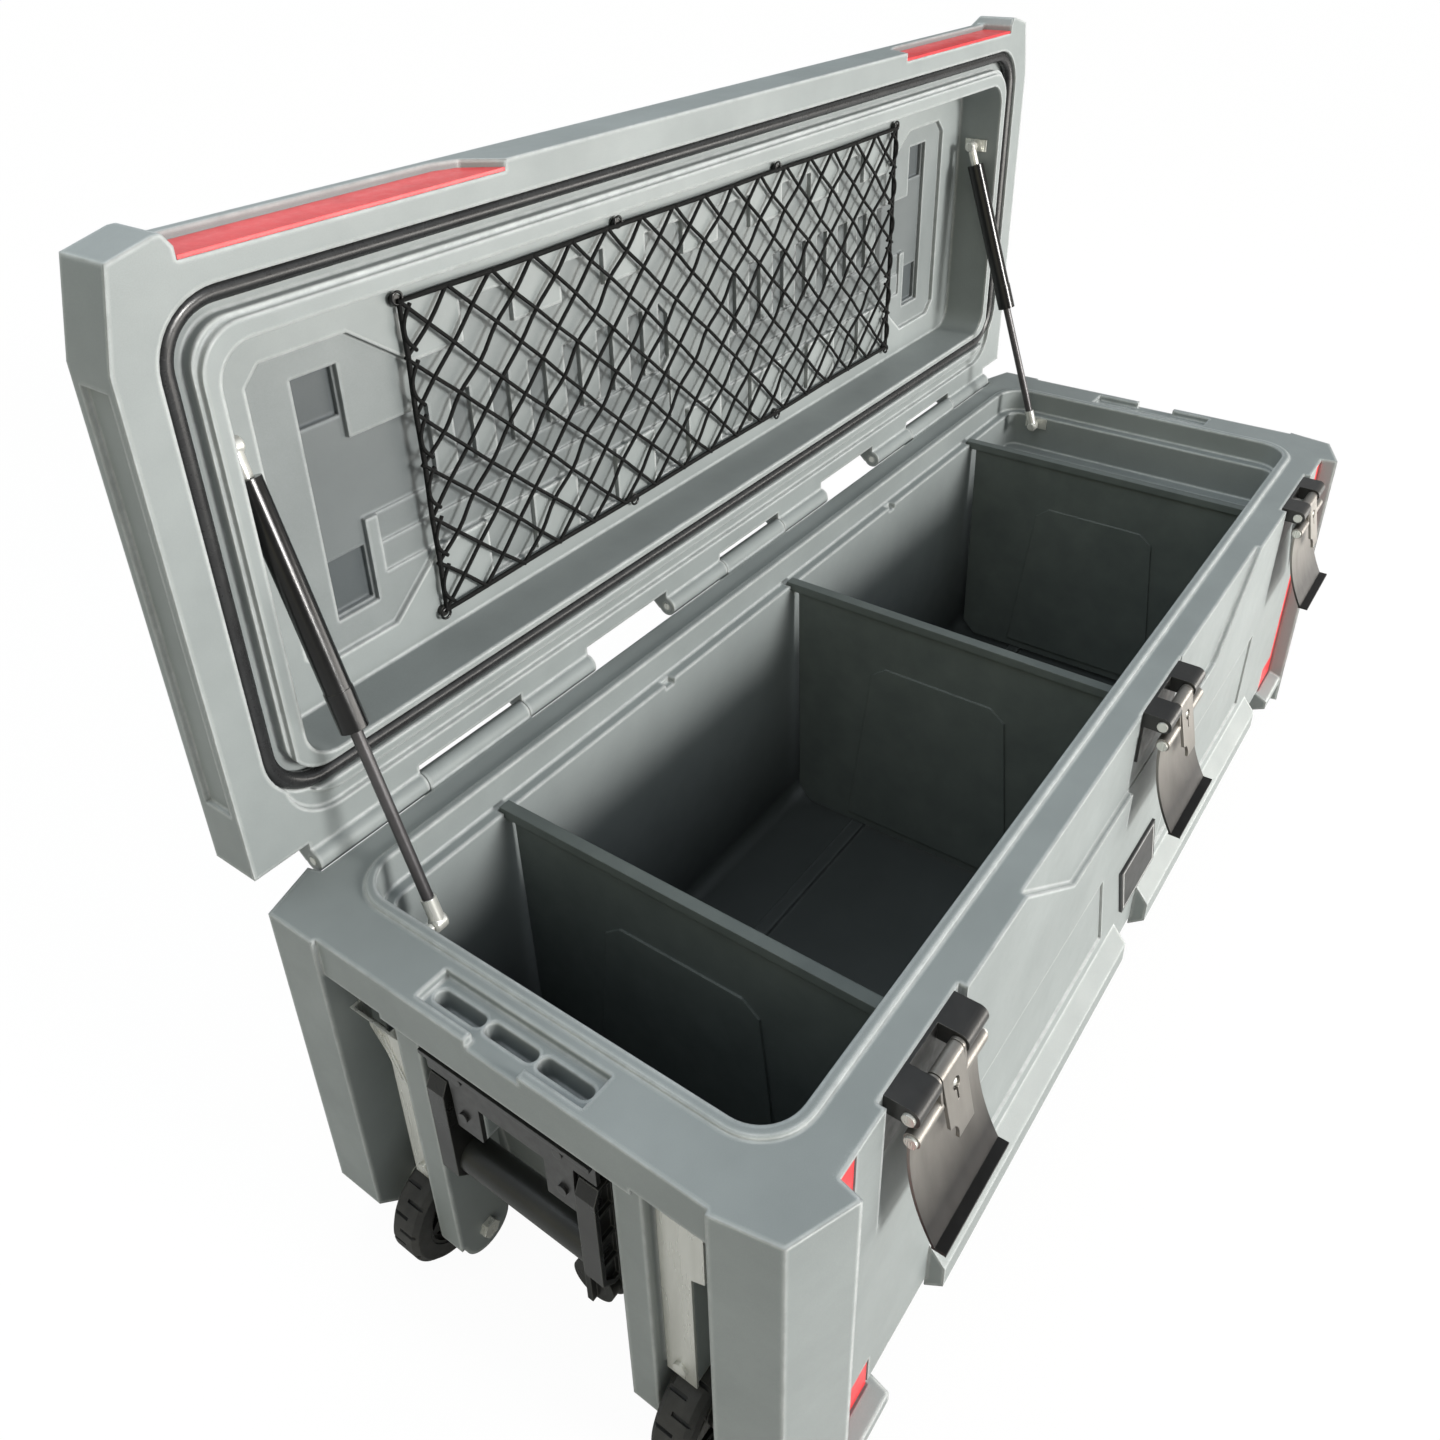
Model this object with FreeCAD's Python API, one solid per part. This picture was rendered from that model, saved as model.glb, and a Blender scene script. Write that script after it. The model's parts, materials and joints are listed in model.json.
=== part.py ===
# Wheeled rotomoulded toolbox with its lid standing open at a right angle.
# X runs along the length with the wheels at -X, the latches are at -Y and Z is up.
import FreeCAD
import Part
import math
import os

# How far a cutting shape runs past the face it cuts
over = 1.0

# Body. Each place along the length is given by its inset from the corner posts' end faces.
post_end_x = 688.0
deck_z = 390.0
post_front_y = 260.0
post_side_inset = 10.0
post_side_x = post_end_x - post_side_inset
post_side_side_inset = 22.0
post_side_y = post_front_y - post_side_side_inset
post_front_inset = 63.0
post_front_x = post_end_x - post_front_inset
post_front_end_inset = 67.0
post_front_end_x = post_end_x - post_front_end_inset
post_back_inset = 50.0
post_back_x = post_end_x - post_back_inset
post_back_side_inset = 6.0
post_back_y = post_front_y - post_back_side_inset
post_back_end_inset = 54.0
post_back_end_x = post_end_x - post_back_end_inset
post_inner_side_inset = 74.0
post_inner_y = post_front_y - post_inner_side_inset
deck_end_inset = 4.0
deck_end_x = post_end_x - deck_end_inset
wall_side_inset = 19.0
wall_y = post_front_y - wall_side_inset
tub_bottom_z = 30.0
near_post_bottom_z = 60.0
near_post_chamfer = 30.0
far_post_toe = 14.0
tub_end_inset = 80.0
tub_end_x = post_end_x - tub_end_inset
tub_bottom_chamfer = 22.0

# Opening and inside of the tub
opening_half_inset = 61.0
opening_half_x = post_end_x - opening_half_inset
opening_front_side_inset = 63.0
opening_front_y = post_front_y - opening_front_side_inset
opening_back_side_inset = 55.0
opening_back_y = post_front_y - opening_back_side_inset
opening_radius = 36.0
ledge_depth = 28.0
inside_half_inset = 76.0
inside_half_x = post_end_x - inside_half_inset
inside_front_side_inset = 72.0
inside_front_y = post_front_y - inside_front_side_inset
inside_back_side_inset = 68.0
inside_back_y = post_front_y - inside_back_side_inset
inside_radius = 26.0
inside_upper_radius = 16.0
inside_lower_half_inset = 98.0
inside_lower_half_x = post_end_x - inside_lower_half_inset
inside_step_drop = 65.0
inside_step_z = deck_z - inside_step_drop
inside_step_slope = 14.0
floor_z = 44.0
lip_width = 9.0
lip_height = 3.0
floor_rib_width = 16.0
floor_rib_height = 5.0
floor_rib_inset = 44.0
divider_end_gap = 216.0
divider_pitch = (post_end_x - divider_end_gap) / 2
notch_width = 14.0
notch_depth = 6.0
notch_reach = 8.0

# Front wall relief
panel_top_half_inset = 352.0
panel_top_half = post_end_x - panel_top_half_inset
panel_bottom_half_inset = 480.0
panel_bottom_half = post_end_x - panel_bottom_half_inset
panel_bottom_drop = 92.0
panel_bottom_z = deck_z - panel_bottom_drop
panel_depth = 6.0
side_panel_outer_inset = 278.0
side_panel_outer_x = post_end_x - side_panel_outer_inset
side_panel_inner_x = 80.0
side_panel_top_drop = 165.0
side_panel_top_z = deck_z - side_panel_top_drop
side_panel_bottom_z = 118.0
side_panel_slant = 34.0
side_panel_depth = 2.5
latch_recess_half = 60.0
latch_recess_depth = 7.0
latch_recess_bottom_drop = 138.0
latch_recess_bottom_z = deck_z - latch_recess_bottom_drop
latch_recess_fade = 60.0
groove_outer_inset = 66.0
groove_outer_x = post_end_x - groove_outer_inset
groove_inner_inset = 88.0
groove_inner_x = post_end_x - groove_inner_inset
groove_depth = 4.0
rib_inner_inset = 128.0
rib_inner_x = post_end_x - rib_inner_inset
foot_top_z = 84.0
foot_bottom_z = 46.0
groove_top_gap = 3.0
insert_thickness = 3.0
insert_inset = 1.0

# Lower skirt on the long sides
skirt_outer_side_inset = 3.0
skirt_outer_y = post_front_y - skirt_outer_side_inset
skirt_top_z = 98.0
skirt_edge_z = 78.0
skirt_low_z = 54.0
skirt_bottom_z = 40.0
skirt_gap_half = 34.0
skirt_end_inset = 227.0
skirt_end_x = post_end_x - skirt_end_inset
corner_foot_inset = 136.0
corner_foot_x = post_end_x - corner_foot_inset
corner_foot_end_inset = 48.0
corner_foot_end_x = post_end_x - corner_foot_end_inset
corner_foot_top_z = 47.0
corner_foot_edge_z = 39.0
corner_foot_low_z = 27.0
corner_foot_bottom_z = 19.0

# Wheel end
axle_inset = 44.0
axle_x = post_end_x - axle_inset
wheel_radius = 54.0
tyre_width = 32.0
pillar_outer_side_inset = 138.0
pillar_outer_y = post_front_y - pillar_outer_side_inset
wheel_near_gap = 7.0
wheel_near_y = pillar_outer_y + wheel_near_gap
rim_radius = 36.0
hub_radius = 14.0
wheel_clearance = 5.0
wheel_well_wall = 9.0
wheel_well_rise = 20.0
pillar_face_inset = 14.0
pillar_face_x = post_end_x - pillar_face_inset
pillar_lobe_radius = 26.0
pillar_shelf_width = 30.0
pillar_shelf_y = pillar_outer_y + pillar_shelf_width
strap_bed_inset = 26.0
strap_bed_x = post_end_x - strap_bed_inset
upper_well_inset = 50.0
upper_well_x = post_end_x - upper_well_inset
recess_top_drop = 44.0
recess_top_z = deck_z - recess_top_drop
well_top_rise = 6.0
end_undercut = 12.0
recess_back_top_inset = 52.0
recess_back_top_x = post_end_x - recess_back_top_inset
shelf_bottom_z = 122.0
bore_clearance = 0.05
axle_radius = 5.0
bolt_head_radius = 9.2
bolt_head_height = 6.5
axle_blind_depth = 18.0
axle_blind_y = post_inner_y + axle_blind_depth
sleeve_radius = 9.0
sleeve_gap = 0.3
tread_count = 24
tread_groove = 3.2
tread_depth = 3.0
tyre_shoulder = 4.6
spoke_count = 5
spoke_inner_radius = 17.0
spoke_outer_radius = 30.0
spoke_gap = 7.0
spoke_spread = 15.5
rim_bead = 3.0
rim_bead_inset = 1.0
rim_disc_inset = 5.3

# Steel straps over the wheel wells
strap_inner_gap = 3.0
strap_inner_y = pillar_outer_y + strap_inner_gap
strap_width = 28.0
strap_outer_y = strap_inner_y + strap_width
strap_thickness = 2.5
strap_bottom_z = 110.0
strap_top_drop = 60.0
strap_top_z = deck_z - strap_top_drop
strap_step_drop = 138.0
strap_step_z = deck_z - strap_step_drop
strap_step_rise = 6.0
strap_step = 12.0
strap_wide_outer_y = strap_outer_y + strap_step
opener_body_top_drop = 98.0
opener_body_top_z = deck_z - opener_body_top_drop
opener_taper_deck_drop = 134.0
opener_taper_z = deck_z - opener_taper_deck_drop
opener_taper_drop = 8.0
opener_outer_gap = 14.0
opener_wide_y = post_inner_y - opener_outer_gap
opener_lip_reach = 16.0
opener_lip_rise = 26.0
opener_rib_width = 3.0
opener_rib_rise = 1.0
opener_rib_pitch = 6.0
opener_rib_top_inset = 9.0
opener_rib_length = 44.0
opener_rib_run = 18.0
strap_bolt_z = 125.0
strap_bolt_radius = 6.0
strap_bolt_height = 3.0

# Pockets and slots in the deck over both ends
pocket_outer_inset = 12.0
pocket_outer_x = post_end_x - pocket_outer_inset
pocket_inner_inset = 42.0
pocket_inner_x = post_end_x - pocket_inner_inset
pocket_front_y = 78.0
pocket_back_y = 82.0
pocket_depth = 8.0
slot_length = 49.0
slot_width = 13.0
slot_pitch = 51.0
slot_depth = 22.0

# Carrying handles, one on each end
handle_plate_inset = 11.0
handle_plate_x = post_end_x - handle_plate_inset
handle_plate_thickness = 4.0
handle_plate_half = 84.0
handle_plate_top_drop = 52.0
handle_plate_top_z = deck_z - handle_plate_top_drop
handle_bar_low_drop = 90.0
handle_bar_low_z = deck_z - handle_bar_low_drop
handle_tab_low_drop = 128.0
handle_tab_low_z = deck_z - handle_tab_low_drop
handle_tab_inner = 33.0
handle_tab_outer = 62.0
handle_tab_taper = 2.0
handle_flange = 6.0
handle_flange_height = 4.0
handle_screw_y = 50.0
handle_screw_high_drop = 68.0
handle_screw_high_z = deck_z - handle_screw_high_drop
handle_screw_low_drop = 110.0
handle_screw_low_z = deck_z - handle_screw_low_drop
handle_screw_radius = 4.5
handle_screw_height = 2.4
handle_block_y = 60.0
handle_recess_y = 96.0
arm_inner_y = 66.0
arm_outer_y = 84.0
arm_face_inset = 6.0
arm_face_x = post_end_x - arm_face_inset
arm_back_inset = 36.0
arm_back_x = post_end_x - arm_back_inset
arm_bulge = 9.0
arm_top_drop = 84.0
arm_top_z = deck_z - arm_top_drop
arm_bottom_z = 186.0
arm_corner = 12.0
pivot_inset = 23.0
pivot_x = post_end_x - pivot_inset
pivot_drop = 97.0
pivot_z = deck_z - pivot_drop
pivot_radius = 5.0
pivot_end_y = 52.0
pivot_end_gap = 0.5
grip_inset = 24.0
grip_x = post_end_x - grip_inset
grip_drop = 182.0
grip_z = deck_z - grip_drop
grip_radius = 15.0
grip_lattice_depth = 4.0
lattice_rim = 4.0
lattice_rib = 2.4

# Hinge
hinge_side_inset = 5.5
hinge_y = post_front_y - hinge_side_inset
hinge_rise = 2.0
hinge_z = deck_z + hinge_rise
knuckle_web_drop = 2.0
knuckle_radius = 10.5
hinge_pin_radius = 4.0
knuckle_end_inset = 56.0
knuckle_end_x = post_end_x - knuckle_end_inset
knuckle_one_inset = 175.0
knuckle_one_x = post_end_x - knuckle_one_inset
knuckle_two_inset = 303.0
knuckle_two_x = post_end_x - knuckle_two_inset
knuckle_three_inset = 399.0
knuckle_three_x = post_end_x - knuckle_three_inset
knuckle_four_x = 160.0
knuckle_five_x = 60.0
knuckle_gap = 0.4
web_depth = 19.0

# Lid
lid_half_inset = 5.0
lid_half_x = post_end_x - lid_half_inset
lid_back_gap = 19.0
lid_front = 505.0
lid_nose = 514.0
lid_corner_start = 439.0
lid_corner_inset = 20.0
lid_corner_x = post_end_x - lid_corner_inset
lid_nose_inset = 54.0
lid_nose_x = post_end_x - lid_nose_inset
lid_nose_inner_inset = 60.0
lid_nose_inner_x = post_end_x - lid_nose_inner_inset
lid_side_height = 50.0
lid_thickness = 78.0
lid_chamfer = 28.0
insert_recess_outer_inset = 66.0
insert_recess_outer = post_end_x - insert_recess_outer_inset
insert_recess_inner_inset = 336.0
insert_recess_inner = post_end_x - insert_recess_inner_inset
insert_recess_depth = 9.0
insert_recess_low = 8.0
insert_recess_high = 40.0
insert_point = 40.0
insert_point_inset = 3.0
centre_nose_half_inset = 378.0
centre_nose_half = post_end_x - centre_nose_half_inset
seal_outer_inset = 36.0
seal_outer_x = post_end_x - seal_outer_inset
seal_back = 62.0
seal_front = 476.0
seal_radius = 7.0
seal_corner = 52.0
rim_outer_inset = 60.0
rim_outer_x = post_end_x - rim_outer_inset
rim_back = 71.0
rim_front = 453.0
rim_corner = 34.0
recess_half_inset = 76.0
recess_half_x = post_end_x - recess_half_inset
recess_back = 87.0
recess_front = 434.0
recess_corner = 30.0
recess_depth = 60.0
seal_gap = 0.5
seal_groove_depth = lip_height + 2 * seal_radius + seal_gap + deck_z - hinge_z
seal_groove_margin = 9.0
lip_groove_depth = 5.0
lip_groove_margin = 2.5
lid_side_recess_depth = 4.0
lid_side_recess_back = 80.0
lid_side_recess_front = 425.0
lid_side_recess_low = 9.0
lid_side_recess_high = 41.0
frame_depth = 5.0
channel_depth = 10.0
well_depth = 14.5
terrace_rise = 1.6
end_frame_outer_inset = 128.0
end_frame_outer_x = post_end_x - end_frame_outer_inset
end_frame_inner_inset = 224.0
end_frame_inner_x = post_end_x - end_frame_inner_inset
end_frame_low = 121.0
end_frame_high = 391.0
end_frame_corner = 15.0
band_end_inset = 284.0
band_end_x = post_end_x - band_end_inset
band_low = 172.0
band_high = 348.0
channel_outer_inset = 169.0
channel_outer_x = post_end_x - channel_outer_inset
channel_inner_inset = 213.0
channel_inner_x = post_end_x - channel_inner_inset
channel_low = 150.0
channel_high = 368.0
slat_zone_inner_x = 56.0
slat_zone_corner = 14.0
slat_zone_low = 228.0
slat_zone_high = 304.0
terrace_outer_inset = 226.0
terrace_outer_x = post_end_x - terrace_outer_inset
terrace_height = 28.0
slat_count = 7
slat_first_x = 84.0
slat_pitch = 49.0
slat_width = 26.0
slat_gap = 5.0
end_well_inset = 2.5
upper_well_low = 324.0
lower_well_high = 204.0
crenel_half_count = 3
crenel_first_x = 62.0
crenel_pitch = 126.0
crenel_width = 62.0
crenel_high = 384.0
crenel_low = 113.0

# Cargo net on the inside of the lid
net_half_inset = 270.5
net_half_x = post_end_x - net_half_inset
net_low = 106.0
net_high = 407.0
net_standoff = 5.0
net_thickness = 2.0
net_border = 6.0
net_cord = 3.2
net_columns = 14
net_rows = 6
net_hook_radius = 5.0
net_hook_inner_x = 139.0
net_hook_inset = 3.0

# Gas struts
strut_inset = 92.0
strut_x = post_end_x - strut_inset
strut_lid_side_reach = 27.0
strut_lid_y = post_front_y + strut_lid_side_reach
strut_lid_rise = 353.0
strut_lid_z = deck_z + strut_lid_rise
strut_body_wall_gap = 40.0
strut_body_y = inside_back_y - strut_body_wall_gap
strut_body_drop = 37.0
strut_body_z = deck_z - strut_body_drop
strut_tube_radius = 11.0
strut_collar_radius = 11.6
strut_collar_length = 34.0
strut_tube_start = 25.0
strut_tube_length = 206.0
strut_rod_radius = 5.0
strut_eye_radius = 7.0
strut_eye_chamfer = 2.0
strut_eye_half = 6.8
strut_neck_radius = 5.5
strut_socket_length = 24.0
stud_radius = 4.0
stud_gap = 0.3
stud_plate_half = 16.0
stud_plate_thickness = 3.0
bore_end = 12.0
rod_engagement = 36.0
socket_wall = 1.0

# Dividers
divider_half_side_inset = 77.0
divider_half_y = post_front_y - divider_half_side_inset
divider_taper = 5.0
divider_thickness = 6.0
divider_bottom_z = 50.0
divider_foot_chamfer = 18.0
bead_thickness = 12.0
bead_height = 10.0
bead_reach = 6.0
divider_top_drop = 24.0
divider_top_z = deck_z - divider_top_drop
frame_top_drop = 98.0
frame_top_z = deck_z - frame_top_drop
frame_bottom_z = 62.0
frame_top_half = 65.0
frame_mid_half = 82.0
frame_mid_drop = 112.0
frame_mid_z = deck_z - frame_mid_drop
frame_low_half = 105.0
frame_rise = 2.0

# Latches
latch_spacing_inset = 186.0
latch_spacing = post_end_x - latch_spacing_inset
latch_half = 52.0
lug_inner = 20.5
lug_top_drop = 0.5
lug_top_z = deck_z - lug_top_drop
lug_front_side_reach = 2.0
lug_front_y = post_front_y + lug_front_side_reach
lug_bottom_drop = 17.0
lug_bottom_z = deck_z - lug_bottom_drop
lug_round = 8.0
latch_pin_side_inset = 6.0
latch_pin_y = post_front_y - latch_pin_side_inset
latch_pin_drop = 9.0
latch_pin_z = deck_z - latch_pin_drop
latch_pin_radius = 3.5
latch_pin_head = 5.0
latch_pin_head_height = 2.5
base_plate_thickness = 3.0
base_plate_bottom_drop = 60.0
base_plate_bottom_z = deck_z - base_plate_bottom_drop
barrel_drop = 21.0
barrel_out = 3.0
barrel_radius = 6.5
lever_thickness = 2.5
lever_belly = 10.0
lever_lip_side_reach = 21.0
lever_lip_y = post_front_y + lever_lip_side_reach
lever_lip_drop = 128.0
lever_lip_z = deck_z - lever_lip_drop
lever_lip_height = 9.0
lever_ear = 3.0
ear_clearance = 0.5
ear_radius = 6.0
hook_half = 16.0
hook_barrel_radius = 6.2
hook_thickness = 3.0
hook_length = 57.0
hook_out = 19.0
hook_claw = 10.0
keyhole_radius = 5.0
keyhole_drop = 14.0
keyhole_slot = 2.0
keyhole_slot_length = 14.0
barrel_gap = 1.0

# Small fittings
drain_y = -10.0
drain_z = 46.0
drain_radius = 22.0
drain_flange_radius = 26.0
drain_flange = 4.0
drain_reach = 16.0
drain_neck_radius = 12.0
drain_neck_end = 3.0
drain_wing = 6.0
drain_wing_inset = 3.0
dome_radius = 11.0
dome_height = 5.0
dome_y = 47.0
dome_drop = 94.0
dome_z = deck_z - dome_drop
badge_left_x = -22.0
badge_right_x = 80.0
badge_low_z = 106.0
badge_high_z = 187.0
badge_slant = 32.0
badge_thickness = 3.0

# The whole part is moved so that its origin is on the floor under the middle of its box
place_x = (axle_x + wheel_radius - post_end_x) / 2
place_y = (lever_lip_y + lever_lip_height - hinge_y - lid_thickness) / 2


def vec(x, y, z):
    return FreeCAD.Vector(x, y, z)


def box(x0, x1, y0, y1, z0, z1):
    low = vec(min(x0, x1), min(y0, y1), min(z0, z1))
    return Part.makeBox(abs(x1 - x0), abs(y1 - y0), abs(z1 - z0), low)


def prism(points, along):
    wire = Part.makePolygon(points + [points[0]])
    return Part.Face(wire).extrude(along)


def prism_xy(pairs, z0, z1):
    return prism([vec(x, y, z0) for x, y in pairs], vec(0, 0, z1 - z0))


def prism_xz(pairs, y0, y1):
    return prism([vec(x, y0, z) for x, z in pairs], vec(0, y1 - y0, 0))


def prism_yz(pairs, x0, x1):
    return prism([vec(x0, y, z) for y, z in pairs], vec(x1 - x0, 0, 0))


def rod_x(radius, x0, x1, y, z):
    return Part.makeCylinder(radius, x1 - x0, vec(x0, y, z), vec(1, 0, 0))


def rod_y(radius, y0, y1, x, z):
    return Part.makeCylinder(radius, y1 - y0, vec(x, y0, z), vec(0, 1, 0))


def rod_z(radius, z0, z1, x, y):
    return Part.makeCylinder(radius, z1 - z0, vec(x, y, z0), vec(0, 0, 1))


def fuse(shapes):
    return shapes[0].multiFuse(shapes[1:]).removeSplitter()


def other_end(shape):
    return shape.mirror(vec(0, 0, 0), vec(1, 0, 0))


def other_side(shape):
    return shape.mirror(vec(0, 0, 0), vec(0, 1, 0))


def both_ends(shape):
    return [shape, other_end(shape)]


def rounded_block(half_x, y0, y1, radius, z0, z1):
    block = box(-half_x, half_x, y0, y1, z0, z1)
    upright = [e for e in block.Edges if abs(e.Vertexes[0].Z - e.Vertexes[1].Z) > (z1 - z0) / 2]
    return block.makeFillet(radius, upright)


def export(name, shapes):
    solids = []
    for shape in shapes:
        solids += shape.Solids
    whole = solids[0] if len(solids) == 1 else Part.makeCompound(solids)
    placed = whole.translated(vec(place_x, place_y, 0))
    placed.exportStep("parts/" + name + ".step")


def post_plan(side, front):
    if front:
        return [(side * post_end_x, -post_inner_y), (side * post_side_x, -post_side_y),
                (side * post_front_x, -post_front_y), (side * post_front_end_x, -wall_y),
                (side * tub_end_x, -wall_y), (side * tub_end_x, -post_inner_y)]
    return [(side * post_end_x, post_inner_y), (side * post_end_x, post_side_y),
            (side * post_back_x, post_back_y), (side * post_back_end_x, wall_y),
            (side * tub_end_x, wall_y), (side * tub_end_x, post_inner_y)]


def near_post(front):
    post = prism_xy(post_plan(-1, front), tub_bottom_z, deck_z)
    cut = prism_xz([(-post_end_x - over, tub_bottom_z - over), (-post_end_x - over, near_post_bottom_z),
                    (-post_end_x, near_post_bottom_z), (-post_end_x + near_post_chamfer, tub_bottom_z),
                    (-post_end_x + near_post_chamfer, tub_bottom_z - over)],
                   -post_front_y - over, post_front_y + over)
    return post.cut(cut)


def far_post(front):
    post = prism_xy(post_plan(1, front), 0, deck_z)
    toe = prism_xz([(post_end_x + over, -over), (post_end_x - far_post_toe, -over),
                    (post_end_x - far_post_toe, 0), (post_end_x, far_post_toe),
                    (post_end_x + over, far_post_toe)], -post_front_y - over, post_front_y + over)
    return post.cut(toe)


def skirt_piece(x0, x1):
    return prism_yz([(-wall_y + over, skirt_top_z), (-wall_y, skirt_top_z), (-skirt_outer_y, skirt_edge_z),
                     (-skirt_outer_y, skirt_low_z), (-wall_y, skirt_bottom_z),
                     (-wall_y + over, skirt_bottom_z)], x0, x1)


def corner_foot(x0, x1):
    inner = -wall_y + tub_bottom_chamfer
    return prism_yz([(inner, corner_foot_top_z), (-wall_y, corner_foot_top_z),
                     (-skirt_outer_y, corner_foot_edge_z), (-skirt_outer_y, corner_foot_low_z),
                     (-wall_y, corner_foot_bottom_z), (inner, corner_foot_bottom_z)], x0, x1)


def tub_core():
    core = box(-tub_end_x, tub_end_x, -wall_y, wall_y, tub_bottom_z, deck_z)
    long_low = [e for e in core.Edges
                if abs(e.Vertexes[0].X - e.Vertexes[1].X) > over and e.CenterOfMass.z < tub_bottom_z + over]
    return core.makeChamfer(tub_bottom_chamfer, long_low)


def end_block(side):
    plan = [(side * deck_end_x, -post_inner_y), (side * deck_end_x, post_inner_y),
            (side * tub_end_x, post_inner_y), (side * tub_end_x, -post_inner_y)]
    return prism_xy(plan, tub_bottom_z, deck_z)


def handle_recess(side):
    face = side * (deck_end_x + over)
    cut = prism_xz([(face, tub_bottom_z - over), (face, recess_top_z),
                    (side * recess_back_top_x, recess_top_z), (side * tub_end_x, shelf_bottom_z),
                    (side * tub_end_x, tub_bottom_z - over)], -handle_recess_y, handle_recess_y)
    block = box(side * recess_back_top_x, side * (handle_plate_x - handle_plate_thickness),
                -handle_block_y, handle_block_y, handle_tab_low_z, recess_top_z)
    gap = box(side * recess_back_top_x, face, -handle_tab_inner, handle_tab_inner,
              handle_tab_low_z - over, handle_bar_low_z)
    bore = rod_y(pivot_radius + bore_clearance, pivot_end_y - pivot_end_gap, handle_block_y + over,
                 side * pivot_x, pivot_z)
    return cut, block.cut([gap, bore, other_side(bore)])


def wheel_end_cuts():
    cuts = []
    reach = wheel_radius + wheel_clearance
    outside = -post_end_x - over
    below = tub_bottom_z - over
    wheel_box = box(outside, -axle_x + reach, pillar_outer_y, post_inner_y, below, wheel_radius)
    wheel_arch = rod_y(reach, pillar_outer_y, post_inner_y, -axle_x, wheel_radius)
    mouth = box(outside, -axle_x, pillar_outer_y, post_inner_y, wheel_radius, wheel_radius + reach)
    slot = box(outside, -upper_well_x, pillar_shelf_y, post_inner_y,
               wheel_radius, recess_top_z + well_top_rise)
    bed = box(outside, -strap_bed_x, pillar_outer_y, post_inner_y,
              wheel_radius, recess_top_z + well_top_rise)
    under = box(outside, -tub_end_x, pillar_outer_y, post_inner_y, below, tub_bottom_z + end_undercut)
    face = box(outside, -pillar_face_x, handle_recess_y - over, pillar_outer_y, below, recess_top_z)
    foot = box(outside, -tub_end_x, handle_recess_y - over, pillar_outer_y, below, wheel_radius)
    for cut in (wheel_box, wheel_arch, mouth, slot, bed, under, face, foot):
        cuts += [cut, other_side(cut)]
    return cuts


def pillar_feet():
    lobe = rod_y(pillar_lobe_radius, handle_recess_y, pillar_outer_y, -axle_x, wheel_radius)
    return [lobe, other_side(lobe)]


def far_end_cuts():
    outside = post_end_x + over
    below = tub_bottom_z - over
    side_cut = box(pillar_face_x, outside, handle_recess_y - over, post_inner_y, below, recess_top_z)
    under = prism_xz([(outside, below), (outside, shelf_bottom_z), (pillar_face_x, shelf_bottom_z),
                      (tub_end_x, tub_bottom_z + end_undercut), (tub_end_x, below)],
                     handle_recess_y - over, post_inner_y)
    return [side_cut, other_side(side_cut), under, other_side(under)]


def deck_pockets(side):
    outer = side * pocket_outer_x
    inner = side * pocket_inner_x
    middle = (pocket_outer_x + pocket_inner_x) / 2 * side
    cuts = [box(outer, inner, -pocket_front_y, pocket_back_y, deck_z - pocket_depth, deck_z + over)]
    mouth = slot_pitch / 2
    cuts.append(box(side * (deck_end_x + over), outer, -mouth, mouth, deck_z - pocket_depth, deck_z + over))
    centre_y = (pocket_back_y - pocket_front_y) / 2
    for step in (-1, 0, 1):
        y = centre_y + step * slot_pitch
        straight = slot_length / 2 - slot_width / 2
        low = deck_z - pocket_depth - slot_depth
        cuts.append(box(middle - slot_width / 2, middle + slot_width / 2,
                        y - straight, y + straight, low, deck_z))
        cuts.append(rod_z(slot_width / 2, low, deck_z, middle, y - straight))
        cuts.append(rod_z(slot_width / 2, low, deck_z, middle, y + straight))
    return cuts


def wheel_well_bumps():
    inner = -axle_x + wheel_radius + wheel_clearance + wheel_well_wall
    bump = box(-inside_half_x, inner, pillar_outer_y - wheel_well_wall, inside_back_y,
               floor_z - over, wheel_radius * 2 + wheel_well_rise)
    return [bump, other_side(bump)]


def inside_cut():
    top = rounded_block(opening_half_x, -opening_front_y, opening_back_y, opening_radius,
                        deck_z - ledge_depth, deck_z + lip_height + over)
    upper = rounded_block(inside_half_x, -inside_front_y, inside_back_y, inside_upper_radius,
                          inside_step_z - inside_step_slope, deck_z - ledge_depth)
    lower = rounded_block(inside_lower_half_x, -inside_front_y, inside_back_y, inside_radius,
                          floor_z, inside_step_z)
    low_edges = [e for e in lower.Edges if e.BoundBox.ZMax < floor_z + over]
    lower = lower.makeFillet(floor_rib_width, low_edges)
    return [top, upper, lower.cut(wheel_well_bumps())]


def divider_notches():
    cuts = []
    for step in (-2, -1, 0, 1, 2):
        x = step * divider_pitch
        cuts.append(box(x - notch_width / 2, x + notch_width / 2,
                        -inside_front_y - notch_reach, inside_back_y + notch_reach,
                        deck_z - ledge_depth - notch_depth, deck_z - ledge_depth + over))
    return cuts


def floor_ribs():
    ribs = []
    half = inside_lower_half_x - floor_rib_inset
    low = floor_z - over
    high = floor_z + floor_rib_height
    for step in (-1, 0, 1):
        x = step * divider_pitch * 2
        for edge in (-1, 1):
            y = edge * divider_half_y / 2
            ribs.append(box(max(x - divider_pitch + notch_width, -half),
                            min(x + divider_pitch - notch_width, half),
                            y - floor_rib_width / 2, y + floor_rib_width / 2, low, high))
    return ribs


def lip_ring():
    outer = rounded_block(opening_half_x + lip_width, -opening_front_y - lip_width,
                          opening_back_y + lip_width, opening_radius + lip_width,
                          deck_z - over, deck_z + lip_height)
    crest = [e for e in outer.Edges if e.BoundBox.ZMin > deck_z + lip_height / 2]
    return outer.makeFillet(lip_height / 2, crest)


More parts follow.
